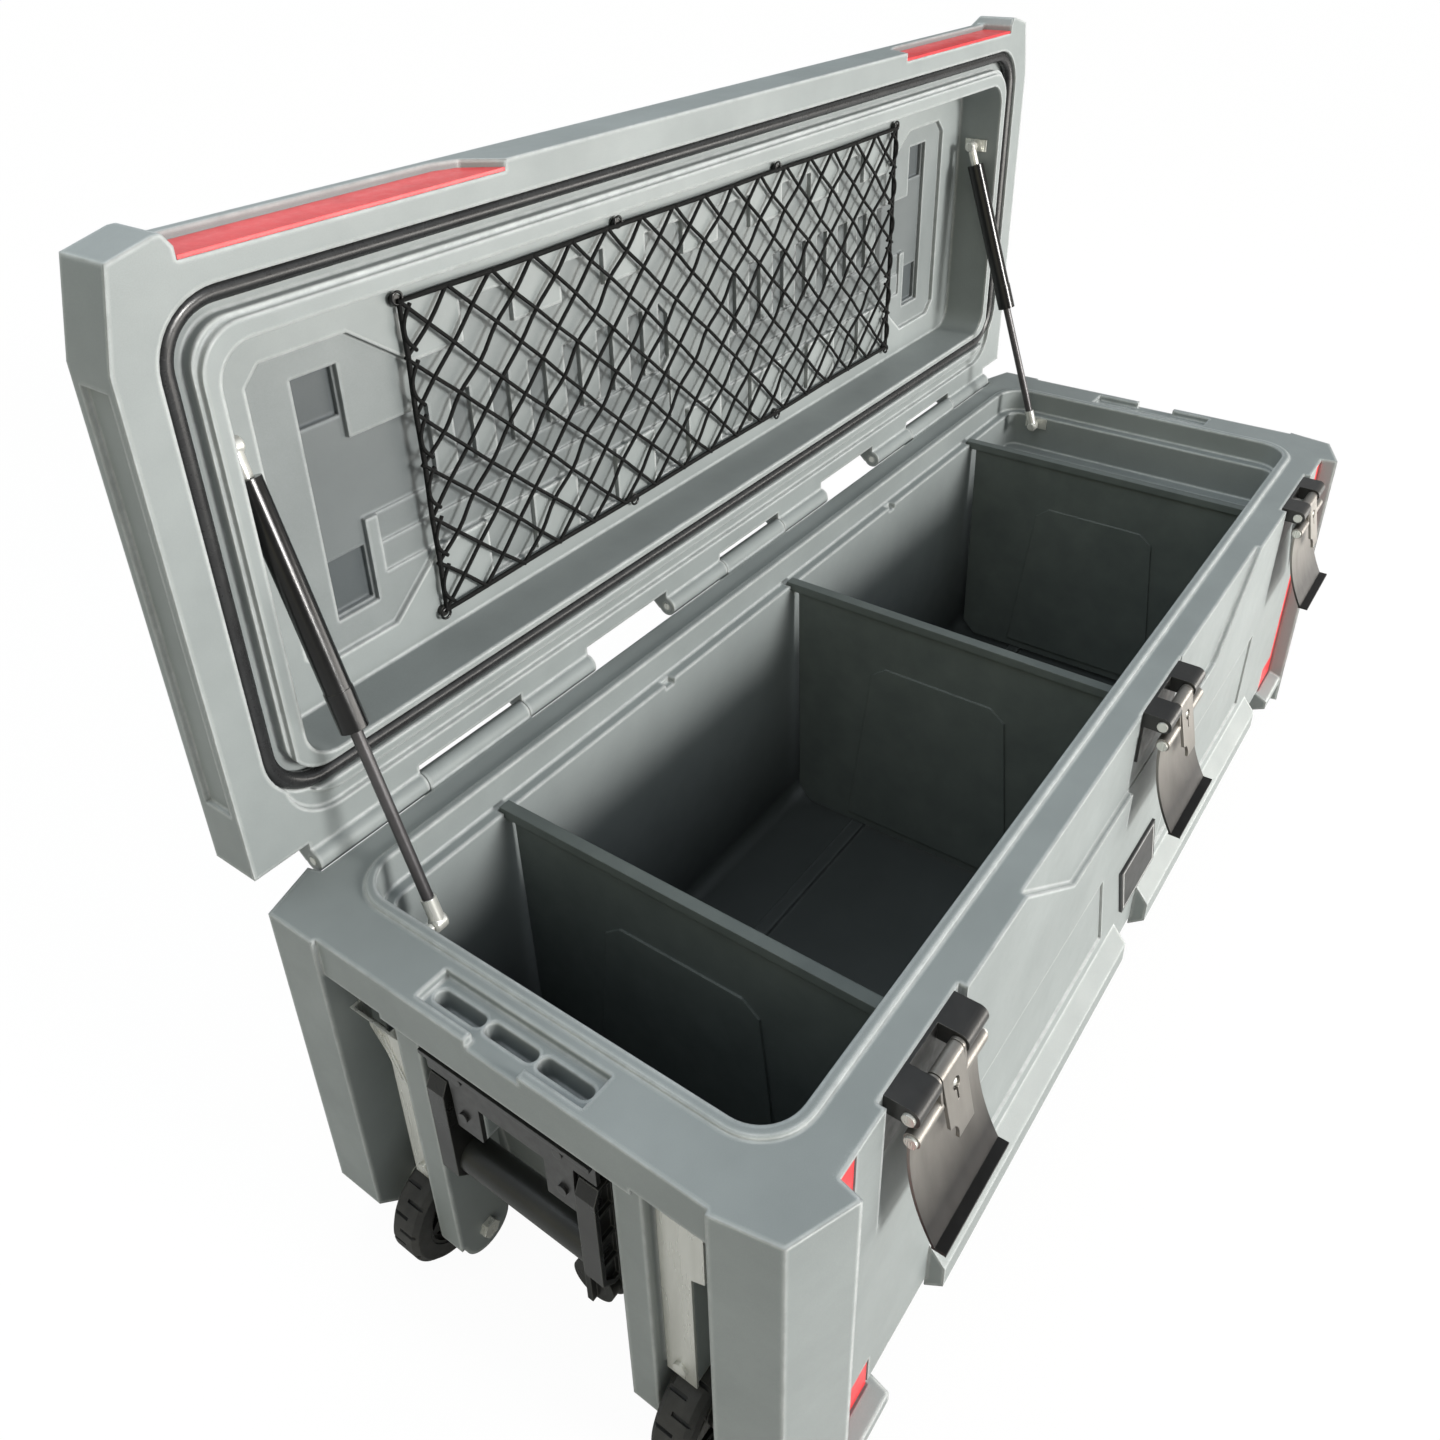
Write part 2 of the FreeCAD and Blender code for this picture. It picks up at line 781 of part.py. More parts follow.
def front_relief():
    cuts = []
    top_y = -wall_y - over
    floor_y = -wall_y + panel_depth
    cuts.append(prism([vec(-panel_top_half, top_y, deck_z + over),
                       vec(panel_top_half, top_y, deck_z + over),
                       vec(panel_bottom_half, top_y, panel_bottom_z),
                       vec(-panel_bottom_half, top_y, panel_bottom_z)], vec(0, floor_y - top_y, 0)))
    for side in (-1, 1):
        cuts.append(prism([vec(side * side_panel_outer_x, top_y, side_panel_top_z),
                           vec(side * (side_panel_inner_x + side_panel_slant), top_y, side_panel_top_z),
                           vec(side * side_panel_inner_x, top_y, side_panel_bottom_z),
                           vec(side * side_panel_outer_x, top_y, side_panel_bottom_z)],
                          vec(0, over + side_panel_depth, 0)))
        cuts.append(box(side * groove_outer_x, side * groove_inner_x, top_y, -wall_y + groove_depth,
                        foot_bottom_z, deck_z - groove_top_gap))
        cuts.append(box(side * groove_inner_x, side * rib_inner_x, top_y, -wall_y + groove_depth,
                        foot_bottom_z, foot_top_z))
    for centre in (-latch_spacing, 0, latch_spacing):
        cuts.append(prism_yz([(top_y, deck_z + over), (-wall_y + latch_recess_depth, deck_z + over),
                              (-wall_y + latch_recess_depth, latch_recess_bottom_z + latch_recess_fade),
                              (-wall_y, latch_recess_bottom_z), (top_y, latch_recess_bottom_z)],
                             centre - latch_recess_half, centre + latch_recess_half))
    return cuts


def body_knuckles():
    shapes = []
    for x0, x1 in ((knuckle_two_x, knuckle_one_x), (-knuckle_one_x, -knuckle_two_x),
                   (-knuckle_five_x, knuckle_five_x)):
        low, high = x0 + knuckle_gap, x1 - knuckle_gap
        shapes.append(rod_x(knuckle_radius, low, high, hinge_y, hinge_z))
        shapes.append(prism_yz([(wall_y - over, deck_z - over), (hinge_y, hinge_z),
                                (hinge_y + knuckle_radius, hinge_z),
                                (hinge_y + knuckle_radius, hinge_z - knuckle_web_drop),
                                (wall_y - over, hinge_z - 2 * web_depth)], low, high))
    return shapes


def pin_bores():
    outer = rod_x(hinge_pin_radius + bore_clearance, knuckle_three_x - over, knuckle_end_x + over,
                  hinge_y, hinge_z)
    middle = rod_x(hinge_pin_radius + bore_clearance, -knuckle_four_x - over, knuckle_four_x + over,
                   hinge_y, hinge_z)
    return [outer, other_end(outer), middle]


def axle_bores():
    bore = rod_y(axle_radius + bore_clearance, handle_recess_y - over, axle_blind_y, -axle_x, wheel_radius)
    return [bore, other_side(bore)]


def drain_bore():
    return rod_x(drain_neck_radius, -tub_end_x - over, -inside_lower_half_x + over, drain_y, drain_z)


def body_shell():
    solids = [tub_core(), end_block(-1), end_block(1)]
    solids += [near_post(True), near_post(False), far_post(True), far_post(False)]
    for piece in (skirt_piece(-skirt_end_x, -skirt_gap_half),
                  corner_foot(-corner_foot_end_x, -corner_foot_x)):
        for copy in both_ends(piece):
            solids += [copy, other_side(copy)]
    body = fuse(solids + [lip_ring()])
    near_cut, near_block = handle_recess(-1)
    far_cut, far_block = handle_recess(1)
    body = body.cut([near_cut, far_cut] + wheel_end_cuts() + far_end_cuts())
    body = fuse([body, near_block, far_block] + pillar_feet() + body_knuckles())
    cuts = inside_cut() + divider_notches() + front_relief() + pin_bores() + axle_bores()
    cuts += deck_pockets(-1) + deck_pockets(1)
    body = body.cut(cuts)
    body = fuse([body] + floor_ribs())
    return body.cut(drain_bore()).removeSplitter()


def to_open(shape):
    turned = shape.copy()
    turned.rotate(vec(0, hinge_y, hinge_z), vec(1, 0, 0), -90)
    return turned


def lid_plan(grow):
    back = hinge_y - lid_back_gap
    corner = hinge_y - lid_corner_start
    front = hinge_y - lid_front
    nose = hinge_y - lid_nose
    half = [(lid_half_x - grow, back - grow), (lid_half_x - grow, corner),
            (lid_corner_x - grow, front + grow), (lid_nose_x - grow, nose + grow),
            (lid_nose_inner_x, nose + grow), (insert_recess_outer, front + grow),
            (insert_recess_inner, front + grow), (centre_nose_half, front + grow)]
    return half + [(-x, y) for x, y in reversed(half)]


def lid_wire(grow, z):
    points = [vec(x, y, z) for x, y in lid_plan(grow)]
    return Part.makePolygon(points + [points[0]])


def lid_block():
    low = Part.Face(lid_wire(0, hinge_z)).extrude(vec(0, 0, lid_side_height))
    top = Part.makeLoft([lid_wire(0, hinge_z + lid_side_height),
                         lid_wire(lid_chamfer, hinge_z + lid_thickness)], True, True)
    return fuse([low, top])


def lid_knuckles():
    shapes = []
    for x0, x1 in ((knuckle_one_x, knuckle_end_x), (knuckle_three_x, knuckle_two_x),
                   (knuckle_five_x, knuckle_four_x)):
        low, high = x0 + knuckle_gap, x1 - knuckle_gap
        knuckle = rod_x(knuckle_radius, low, high, hinge_y, hinge_z)
        web = prism_yz([(hinge_y, hinge_z), (hinge_y - lid_back_gap - over, hinge_z),
                        (hinge_y - lid_back_gap - over, hinge_z + 2 * web_depth),
                        (hinge_y + knuckle_radius / 2, hinge_z + knuckle_radius)], low, high)
        shapes += both_ends(knuckle) + both_ends(web)
    return shapes


def lid_loop(half_x, back, front, corner, z0, z1):
    return rounded_block(half_x, hinge_y - front, hinge_y - back, corner, z0, z1)


def lid_recess():
    top = hinge_z + recess_depth
    return lid_loop(recess_half_x, recess_back, recess_front, recess_corner, hinge_z - over, top)


def seal_groove():
    outer = lid_loop(seal_outer_x, seal_back, seal_front, seal_corner,
                     hinge_z - over, hinge_z + seal_groove_depth)
    inner = lid_loop(rim_outer_x, rim_back + seal_groove_margin, rim_front, rim_corner,
                     hinge_z - 2 * over, hinge_z + seal_groove_depth + over)
    return outer.cut(inner)


def lip_groove():
    outer = rounded_block(opening_half_x + lip_width + lip_groove_margin,
                          -opening_front_y - lip_width - lip_groove_margin,
                          opening_back_y + lip_width + lip_groove_margin,
                          opening_radius + lip_width, hinge_z - over, hinge_z + lip_groove_depth)
    inner = rounded_block(opening_half_x - lip_groove_margin, -opening_front_y + lip_groove_margin,
                          opening_back_y - lip_groove_margin, opening_radius,
                          hinge_z - 2 * over, hinge_z + lip_groove_depth + over)
    return outer.cut(inner)


def insert_recess(side):
    front = hinge_y - lid_front
    low = hinge_z + insert_recess_low
    high = hinge_z + insert_recess_high
    points = [(side * insert_recess_outer, low), (side * (insert_recess_inner + insert_point), low),
              (side * insert_recess_inner, (low + high) / 2 + insert_recess_low),
              (side * (insert_recess_inner + insert_point / 2), high), (side * insert_recess_outer, high)]
    return prism_xz(points, front - over, front + insert_recess_depth)


def lid_side_recess(side):
    return box(side * (lid_half_x + over), side * (lid_half_x - lid_side_recess_depth),
               hinge_y - lid_side_recess_front, hinge_y - lid_side_recess_back,
               hinge_z + lid_side_recess_low, hinge_z + lid_side_recess_high)


def liner_cut(x0, x1, low, high, depth):
    """A box cut into the lid's inner face, between two reaches from the hinge."""
    floor = hinge_z + recess_depth
    return box(x0, x1, hinge_y - high, hinge_y - low, floor - over, floor + depth)


def liner_frame():
    floor = hinge_z + recess_depth
    corner = end_frame_corner
    half = [(band_end_x, band_low), (end_frame_inner_x, end_frame_low),
            (end_frame_outer_x - corner, end_frame_low), (end_frame_outer_x, end_frame_low + corner),
            (end_frame_outer_x, end_frame_high - corner), (end_frame_outer_x - corner, end_frame_high),
            (end_frame_inner_x, end_frame_high), (band_end_x, band_high)]
    outline = half + [(-x, reach) for x, reach in reversed(half)]
    return prism_xy([(x, hinge_y - reach) for x, reach in outline], floor - over, floor + frame_depth)


def slat_zone(side):
    floor = hinge_z + recess_depth
    corner = slat_zone_corner
    outline = [(slat_zone_inner_x + corner, slat_zone_low), (channel_outer_x, slat_zone_low),
               (channel_outer_x, slat_zone_high), (slat_zone_inner_x + corner, slat_zone_high),
               (slat_zone_inner_x, slat_zone_high - corner), (slat_zone_inner_x, slat_zone_low + corner)]
    placed = [(side * x, hinge_y - reach) for x, reach in outline]
    return prism_xy(placed, floor - over, floor + channel_depth)


def liner_cuts(side):
    inner, outer = side * channel_inner_x, side * channel_outer_x
    inset = end_well_inset
    cuts = [slat_zone(side), liner_cut(inner, outer, channel_low, channel_high, channel_depth)]
    for step in (1, 2):
        high = slat_zone_low - (step - 1) * terrace_height
        cuts.append(liner_cut(side * slat_zone_inner_x, side * terrace_outer_x, high - terrace_height,
                              high + over, channel_depth - step * terrace_rise))
    for low, high in ((channel_low + inset, lower_well_high), (upper_well_low, channel_high - inset)):
        cuts.append(liner_cut(inner + side * inset, outer - side * inset, low, high, well_depth))
    for index in range(crenel_half_count):
        x = side * (crenel_first_x + index * crenel_pitch)
        for low, high in ((crenel_low, band_low + over), (band_high - over, crenel_high)):
            cuts.append(liner_cut(x - crenel_width / 2, x + crenel_width / 2, low, high, frame_depth))
    return cuts


def liner_slats(side):
    floor = hinge_z + recess_depth
    y0, y1 = hinge_y - slat_zone_high - over, hinge_y - slat_zone_low - slat_gap
    slats = []
    for index in range(slat_count):
        x = side * (slat_first_x + index * slat_pitch)
        slats.append(box(x - slat_width / 2, x + slat_width / 2, y0, y1,
                         floor + frame_depth, floor + channel_depth + over))
    return slats


def lid_shell():
    lid = fuse([lid_block()] + lid_knuckles())
    lid = lid.cut([lid_recess(), seal_groove(), lip_groove()])
    lid = lid.cut([insert_recess(-1), insert_recess(1), lid_side_recess(-1), lid_side_recess(1)])
    lid = lid.cut([liner_frame()] + liner_cuts(-1) + liner_cuts(1))
    lid = fuse([lid] + liner_slats(-1) + liner_slats(1))
    return to_open(lid.cut(pin_bores()).removeSplitter())


def lid_seal():
    half = seal_outer_x - seal_radius
    y0 = hinge_y - seal_front + seal_radius
    y1 = hinge_y - seal_back - seal_radius
    z = hinge_z + seal_groove_depth - seal_radius
    corner = seal_corner - seal_radius
    frame = rounded_block(half, y0, y1, corner, z, z + seal_radius)
    bottom = [f for f in frame.Faces if f.BoundBox.ZMax < z + seal_radius / 2][0]
    path = bottom.OuterWire
    edge = path.OrderedEdges[0]
    start = edge.valueAt(edge.FirstParameter)
    circle = Part.Wire(Part.makeCircle(seal_radius, start, edge.tangentAt(edge.FirstParameter)))
    return to_open(path.makePipeShell([circle], True, False))


def hinge_pins():
    outer = rod_x(hinge_pin_radius, knuckle_three_x, knuckle_end_x, hinge_y, hinge_z)
    return [outer, other_end(outer),
            rod_x(hinge_pin_radius, -knuckle_four_x, knuckle_four_x, hinge_y, hinge_z)]


def red_body_insert():
    outer, inner = groove_outer_x - insert_inset, groove_inner_x + insert_inset
    floor = -wall_y + groove_depth
    strip = prism_xz([(-outer, foot_bottom_z + insert_inset),
                      (-rib_inner_x - insert_inset, foot_bottom_z + insert_inset),
                      (-rib_inner_x - insert_inset, foot_top_z - 2 * insert_inset),
                      (-inner, foot_top_z - 2 * insert_inset),
                      (-inner, deck_z - groove_top_gap - insert_inset),
                      (-outer, deck_z - groove_top_gap - insert_inset)], floor - insert_thickness, floor)
    return both_ends(strip)


def red_lid_insert():
    shapes = []
    floor = hinge_y - lid_front + insert_recess_depth
    low = hinge_z + insert_recess_low + insert_inset
    high = hinge_z + insert_recess_high - insert_inset
    points = [(-insert_recess_outer + insert_inset, low), (-insert_recess_inner - insert_point, low),
              (-insert_recess_inner - insert_point_inset, (low + high) / 2 + insert_recess_low),
              (-insert_recess_inner - insert_point / 2 - insert_inset, high),
              (-insert_recess_outer + insert_inset, high)]
    for shape in both_ends(prism_xz(points, floor - insert_thickness, floor)):
        shapes.append(to_open(shape))
    return shapes


def net_point(column, row):
    x0, x1 = -net_half_x + net_border, net_half_x - net_border
    z0, z1 = hinge_z + net_low + net_border, hinge_z + net_high - net_border
    return (x0 + (x1 - x0) * column / net_columns, z0 + (z1 - z0) * row / net_rows)


def net_gap(points):
    cx = sum(x for x, z in points) / len(points)
    cz = sum(z for x, z in points) / len(points)
    shrunk = []
    for x, z in points:
        reach = math.hypot(x - cx, z - cz)
        scale = max(0, 1 - net_cord / reach)
        shrunk.append((cx + (x - cx) * scale, cz + (z - cz) * scale))
    return shrunk


def net_gaps():
    gaps = []
    for column in range(net_columns):
        for row in range(net_rows):
            middle = net_point(column + 1 / 2, row + 1 / 2)
            if column == 0:
                gaps.append([net_point(column, row), middle, net_point(column, row + 1)])
            if column == net_columns - 1:
                gaps.append([net_point(column + 1, row), net_point(column + 1, row + 1), middle])
            else:
                gaps.append([middle, net_point(column + 1, row),
                             net_point(column + 3 / 2, row + 1 / 2), net_point(column + 1, row + 1)])
            if row == 0:
                gaps.append([net_point(column, row), net_point(column + 1, row), middle])
            if row == net_rows - 1:
                gaps.append([net_point(column, row + 1), middle, net_point(column + 1, row + 1)])
            else:
                gaps.append([middle, net_point(column + 1, row + 1),
                             net_point(column + 1 / 2, row + 3 / 2), net_point(column, row + 1)])
    return gaps


def cargo_net():
    y = hinge_y + recess_depth - net_standoff - net_thickness
    x0, x1 = -net_half_x, net_half_x
    z0, z1 = hinge_z + net_low, hinge_z + net_high
    outer = Part.makePolygon([vec(x0, y, z0), vec(x1, y, z0), vec(x1, y, z1), vec(x0, y, z1),
                              vec(x0, y, z0)])
    wires = [outer]
    for gap in net_gaps():
        points = [vec(x, y, z) for x, z in net_gap(gap)]
        wires.append(Part.makePolygon(points + [points[0]]))
    face = Part.Face(wires, "Part::FaceMakerBullseye")
    return face.extrude(vec(0, net_thickness, 0))


def net_hooks():
    hooks = []
    floor = hinge_y + recess_depth
    for x in (net_half_x - net_hook_inset, net_hook_inner_x):
        for z in (hinge_z + net_low + net_hook_inset, hinge_z + net_high - net_hook_inset):
            stem = rod_y(net_hook_radius, floor - net_standoff, floor, x, z)
            hooks += both_ends(stem)
    return hooks


def divider(index):
    x = index * 2 * divider_pitch
    half = divider_thickness / 2
    foot = divider_half_y - divider_taper
    outline = [(-divider_half_y, divider_top_z - bead_height),
               (-foot, divider_bottom_z + divider_foot_chamfer),
               (-foot + divider_foot_chamfer, divider_bottom_z),
               (foot - divider_foot_chamfer, divider_bottom_z),
               (foot, divider_bottom_z + divider_foot_chamfer),
               (divider_half_y, divider_top_z - bead_height)]
    panel = prism_yz(outline, x - half, x + half)
    bead = box(x - bead_thickness / 2, x + bead_thickness / 2, -inside_front_y - bead_reach,
               inside_back_y + bead_reach, divider_top_z - bead_height, divider_top_z)
    frame = [(-frame_low_half, frame_bottom_z), (-frame_mid_half, frame_mid_z),
             (-frame_top_half, frame_top_z), (frame_top_half, frame_top_z),
             (frame_mid_half, frame_mid_z), (frame_low_half, frame_bottom_z)]
    raised = prism_yz(frame, x - half - frame_rise, x + half + frame_rise)
    return fuse([panel, bead, raised])


def strut_direction():
    return vec(0, strut_body_y - strut_lid_y, strut_body_z - strut_lid_z).normalize()


def strut_length():
    return math.hypot(strut_body_y - strut_lid_y, strut_body_z - strut_lid_z)


def along_strut(distance, side):
    return vec(side * strut_x, strut_lid_y, strut_lid_z) + strut_direction() * distance


def strut_tube(side):
    axis = strut_direction()
    end = strut_tube_start + strut_tube_length
    tube = Part.makeCylinder(strut_tube_radius, strut_tube_length,
                             along_strut(strut_tube_start, side), axis)
    collar = Part.makeCylinder(strut_collar_radius, strut_collar_length,
                               along_strut(end - strut_collar_length, side), axis)
    bore = Part.makeCylinder(strut_rod_radius + bore_clearance, strut_tube_length,
                             along_strut(strut_tube_start + bore_end, side), axis)
    return fuse([tube, collar]).cut(bore)


def strut_eye(side, y, z):
    """The ball socket of a strut's end fitting, with its two rims cut back."""
    eye = Part.makeCylinder(strut_eye_radius, 2 * strut_eye_half,
                            vec(side * strut_x - strut_eye_half, y, z), vec(1, 0, 0))
    return eye.makeChamfer(strut_eye_chamfer, [e for e in eye.Edges if e.Curve.TypeId == "Part::GeomCircle"])


def strut_head(side):
    """The fitting on the tube's end, which holds the lid's ball stud."""
    neck = Part.makeCylinder(strut_neck_radius, strut_tube_start, along_strut(0, side), strut_direction())
    return fuse([strut_eye(side, strut_lid_y, strut_lid_z), neck])


def strut_rod(side):
    axis = strut_direction()
    length = strut_length()
    inside = strut_tube_start + strut_tube_length - rod_engagement
    end = length - strut_socket_length
    return Part.makeCylinder(strut_rod_radius, end - inside, along_strut(inside, side), axis)


def strut_foot(side):
    """The fitting on the rod's end, which holds the body's ball stud."""
    axis = strut_direction()
    length = strut_length()
    socket = Part.makeCylinder(strut_neck_radius + socket_wall, strut_socket_length,
                               along_strut(length - strut_socket_length, side), axis)
    return fuse([socket, strut_eye(side, strut_body_y, strut_body_z)])


def stud(side, y, z, plate_x):
    near = side * (strut_x + strut_eye_half + stud_gap)
    far = side * (plate_x - stud_plate_thickness / 2)
    pin = rod_x(stud_radius, min(near, far), max(near, far), y, z)
    plate = box(side * plate_x, side * (plate_x - stud_plate_thickness), y - stud_plate_half,
                y + stud_plate_half, z - stud_plate_half / 2, z + stud_plate_half / 2)
    return fuse([pin, plate])


def lid_studs():
    return [stud(side, strut_lid_y, strut_lid_z, recess_half_x) for side in (-1, 1)]


def body_studs():
    return [stud(side, strut_body_y, strut_body_z, inside_half_x) for side in (-1, 1)]


def latch_base(centre):
    back = -wall_y + latch_recess_depth
    shapes = [box(centre - latch_half, centre + latch_half, back - base_plate_thickness, back,
                  base_plate_bottom_z, lug_top_z)]
    for side in (-1, 1):
        lug = box(centre + side * lug_inner, centre + side * latch_half, -lug_front_y,
                  back, lug_bottom_z, lug_top_z)
        nose = [e for e in lug.Edges if e.CenterOfMass.y < -lug_front_y + over
                and abs(e.Vertexes[0].X - e.Vertexes[1].X) > over]
        shapes.append(lug.makeFillet(lug_round, nose))
    base = fuse(shapes)
    bore = rod_x(latch_pin_radius, centre - latch_half - over, centre + latch_half + over,
                 -latch_pin_y, latch_pin_z)
    return base.cut(bore)


def latch_pin(centre):
    pin = rod_x(latch_pin_radius, centre - latch_half - latch_pin_head_height,
                centre + latch_half + latch_pin_head_height, -latch_pin_y, latch_pin_z)
    heads = []
    for x0 in (centre - latch_half - latch_pin_head_height, centre + latch_half):
        heads.append(rod_x(latch_pin_head, x0, x0 + latch_pin_head_height, -latch_pin_y, latch_pin_z))
    return fuse([pin] + heads)


def lever_profile():
    barrel_y = -latch_pin_y - barrel_out
    barrel_z = latch_pin_z - barrel_drop
    start = vec(0, barrel_y + barrel_radius / 2, barrel_z)
    middle = vec(0, (barrel_y - lever_lip_y) / 2 + lever_belly, (barrel_z + lever_lip_z) / 2)
    finish = vec(0, -lever_lip_y + lever_thickness, lever_lip_z)
    return start, middle, finish


def lever_sheet(centre):
    start, middle, finish = lever_profile()
    out = vec(0, -lever_thickness, 0)
    inner = Part.Arc(start, middle, finish).toShape()
    outer = Part.Arc(start + out, middle + out, finish + out).toShape()
    ends = [Part.makeLine(start, start + out), Part.makeLine(finish, finish + out)]
    wire = Part.Wire(Part.__sortEdges__([inner, outer] + ends))
    sheet = Part.Face(wire).extrude(vec(2 * latch_half, 0, 0))
    sheet.translate(vec(centre - latch_half, 0, 0))
    return sheet


def lever(centre):
    barrel_y = -latch_pin_y - barrel_out
    barrel_z = latch_pin_z - barrel_drop
    barrel = rod_x(barrel_radius, centre - latch_half, centre + latch_half, barrel_y, barrel_z)
    barrel = barrel.cut(rod_x(barrel_radius + over, centre - hook_half - barrel_gap,
                              centre + hook_half + barrel_gap, barrel_y, barrel_z))
    lip = box(centre - latch_half, centre + latch_half, -lever_lip_y - lever_lip_height,
              -lever_lip_y + lever_thickness, lever_lip_z - lever_thickness, lever_lip_z)
    shapes = [lever_sheet(centre), barrel, lip]
    for side in (-1, 1):
        outer = lug_inner - ear_clearance
        x0 = min(centre + side * outer, centre + side * (outer - lever_ear))
        ear = prism_yz([(-latch_pin_y + ear_radius, latch_pin_z), (-latch_pin_y - ear_radius, latch_pin_z),
                        (barrel_y - ear_radius, barrel_z), (barrel_y + ear_radius, barrel_z)],
                       x0, x0 + lever_ear)
        shapes += [ear, rod_x(ear_radius, x0, x0 + lever_ear, -latch_pin_y, latch_pin_z)]
    solid = fuse(shapes)
    pin_bore = rod_x(latch_pin_radius + bore_clearance, centre - lug_inner, centre + lug_inner,
                     -latch_pin_y, latch_pin_z)
    screw_bore = rod_x(latch_pin_radius, centre - latch_half - over, centre + latch_half + over,
                       barrel_y, barrel_z)
    return solid.cut([pin_bore, screw_bore])


def lever_pin(centre):
    y, z = -latch_pin_y - barrel_out, latch_pin_z - barrel_drop
    pin = rod_x(latch_pin_radius, centre - latch_half - latch_pin_head_height,
                centre + latch_half + latch_pin_head_height, y, z)
    heads = []
    for x0 in (centre - latch_half - latch_pin_head_height, centre + latch_half):
        heads.append(rod_x(latch_pin_head, x0, x0 + latch_pin_head_height, y, z))
    return fuse([pin] + heads)


def hook(centre):
    y, z = -latch_pin_y, latch_pin_z
    barrel = rod_x(hook_barrel_radius, centre - hook_half, centre + hook_half, y, z)
    plate = prism_yz([(y - hook_barrel_radius + hook_thickness, z), (y - hook_barrel_radius, z),
                      (y - hook_out, z - hook_length), (y - hook_out + hook_thickness, z - hook_length)],
                     centre - hook_half, centre + hook_half)
    claw = rod_y(hook_claw, y - 3 * hook_out, y, centre - hook_half, z - hook_length + hook_claw / 2)
    keyhole = rod_y(keyhole_radius, y - 3 * hook_out, y, centre, z - keyhole_drop)
    slot = box(centre - keyhole_slot / 2, centre + keyhole_slot / 2, y - 3 * hook_out, y,
               z - keyhole_drop - keyhole_slot_length, z - keyhole_drop)
    plate = plate.cut([claw, keyhole, slot])
    solid = fuse([barrel, plate])
    return solid.cut(rod_x(latch_pin_radius + bore_clearance, centre - lug_inner, centre + lug_inner, y, z))


def handle_plate(side):
    front = handle_plate_x
    back = handle_plate_x - handle_plate_thickness
    shoulder_z = handle_bar_low_z + 2 * handle_flange
    half = [(handle_plate_half, handle_plate_top_z), (handle_plate_half, shoulder_z),
            (handle_tab_outer, shoulder_z), (handle_tab_outer - handle_tab_taper, handle_tab_low_z),
            (handle_tab_inner, handle_tab_low_z), (handle_tab_inner, handle_bar_low_z)]
    outline = half + [(-y, z) for y, z in reversed(half)]
    plate = prism_yz(outline, back, front)
    flange = box(back, front + handle_flange, -handle_plate_half, handle_plate_half,
                 handle_plate_top_z - handle_flange_height, handle_plate_top_z)
    solid = fuse([plate, flange])
    return other_end(solid) if side < 0 else solid


def handle_screws():
    screws = []
    for y in (-handle_screw_y, handle_screw_y):
        for z in (handle_screw_low_z, handle_screw_high_z):
            head = rod_x(handle_screw_radius, handle_plate_x, handle_plate_x + handle_screw_height, y, z)
            screws += both_ends(head)
    return screws


def arm_outline():
    corner = arm_corner
    return [(arm_face_x - corner / 2, arm_top_z), (arm_face_x, arm_top_z - corner),
            (arm_face_x, arm_bottom_z + corner), (arm_face_x - corner, arm_bottom_z),
            (arm_back_x + corner / 2, arm_bottom_z), (arm_back_x - arm_bulge, arm_bottom_z + 3 * corner),
            (arm_back_x - arm_bulge, arm_top_z - 3 * corner), (arm_back_x + corner / 2, arm_top_z)]


def handle_arm():
    arm = prism_xz(arm_outline(), arm_inner_y, arm_outer_y)
    cx = (arm_face_x + arm_back_x - arm_bulge) / 2
    cz = (arm_top_z + arm_bottom_z) / 2
    inner = [(cx + (x - cx) * (1 - 2 * lattice_rim / (arm_face_x - arm_back_x + arm_bulge)),
              cz + (z - cz) * (1 - 2 * lattice_rim / (arm_top_z - arm_bottom_z)))
             for x, z in arm_outline()]
    pocket = prism_xz(inner, arm_outer_y - grip_lattice_depth, arm_outer_y + over)
    ribs = []
    height = arm_top_z - arm_bottom_z
    for step in (1, 2, 3):
        z = arm_bottom_z + height * step / 4
        ribs.append(box(arm_back_x - arm_bulge, arm_face_x, arm_outer_y - grip_lattice_depth - over,
                        arm_outer_y, z - lattice_rib / 2, z + lattice_rib / 2))
    ribs.append(box(cx - lattice_rib / 2, cx + lattice_rib / 2, arm_outer_y - grip_lattice_depth - over,
                    arm_outer_y, arm_bottom_z, arm_top_z))
    pocket = pocket.cut(ribs)
    return arm.cut(pocket)


def handle_bail(side):
    arm = handle_arm()
    arms = [arm, other_side(arm)]
    bar = rod_y(pivot_radius, pivot_end_y, arm_inner_y, pivot_x, pivot_z)
    core = rod_y(grip_radius / 2, -arm_inner_y, arm_inner_y, grip_x, grip_z)
    solid = fuse(arms + [core, bar, other_side(bar)])
    return other_end(solid) if side < 0 else solid


def handle_grip(side):
    outer = rod_y(grip_radius, -arm_inner_y, arm_inner_y, side * grip_x, grip_z)
    return outer.cut(rod_y(grip_radius / 2, -arm_inner_y - over, arm_inner_y + over, side * grip_x, grip_z))


def wheel_faces(side):
    return sorted((side * wheel_near_y, side * (wheel_near_y + tyre_width)))


def about_axle(shape, angle):
    shape.rotate(vec(0, 0, 0), vec(0, 1, 0), angle)
    shape.translate(vec(-axle_x, 0, wheel_radius))
    return shape


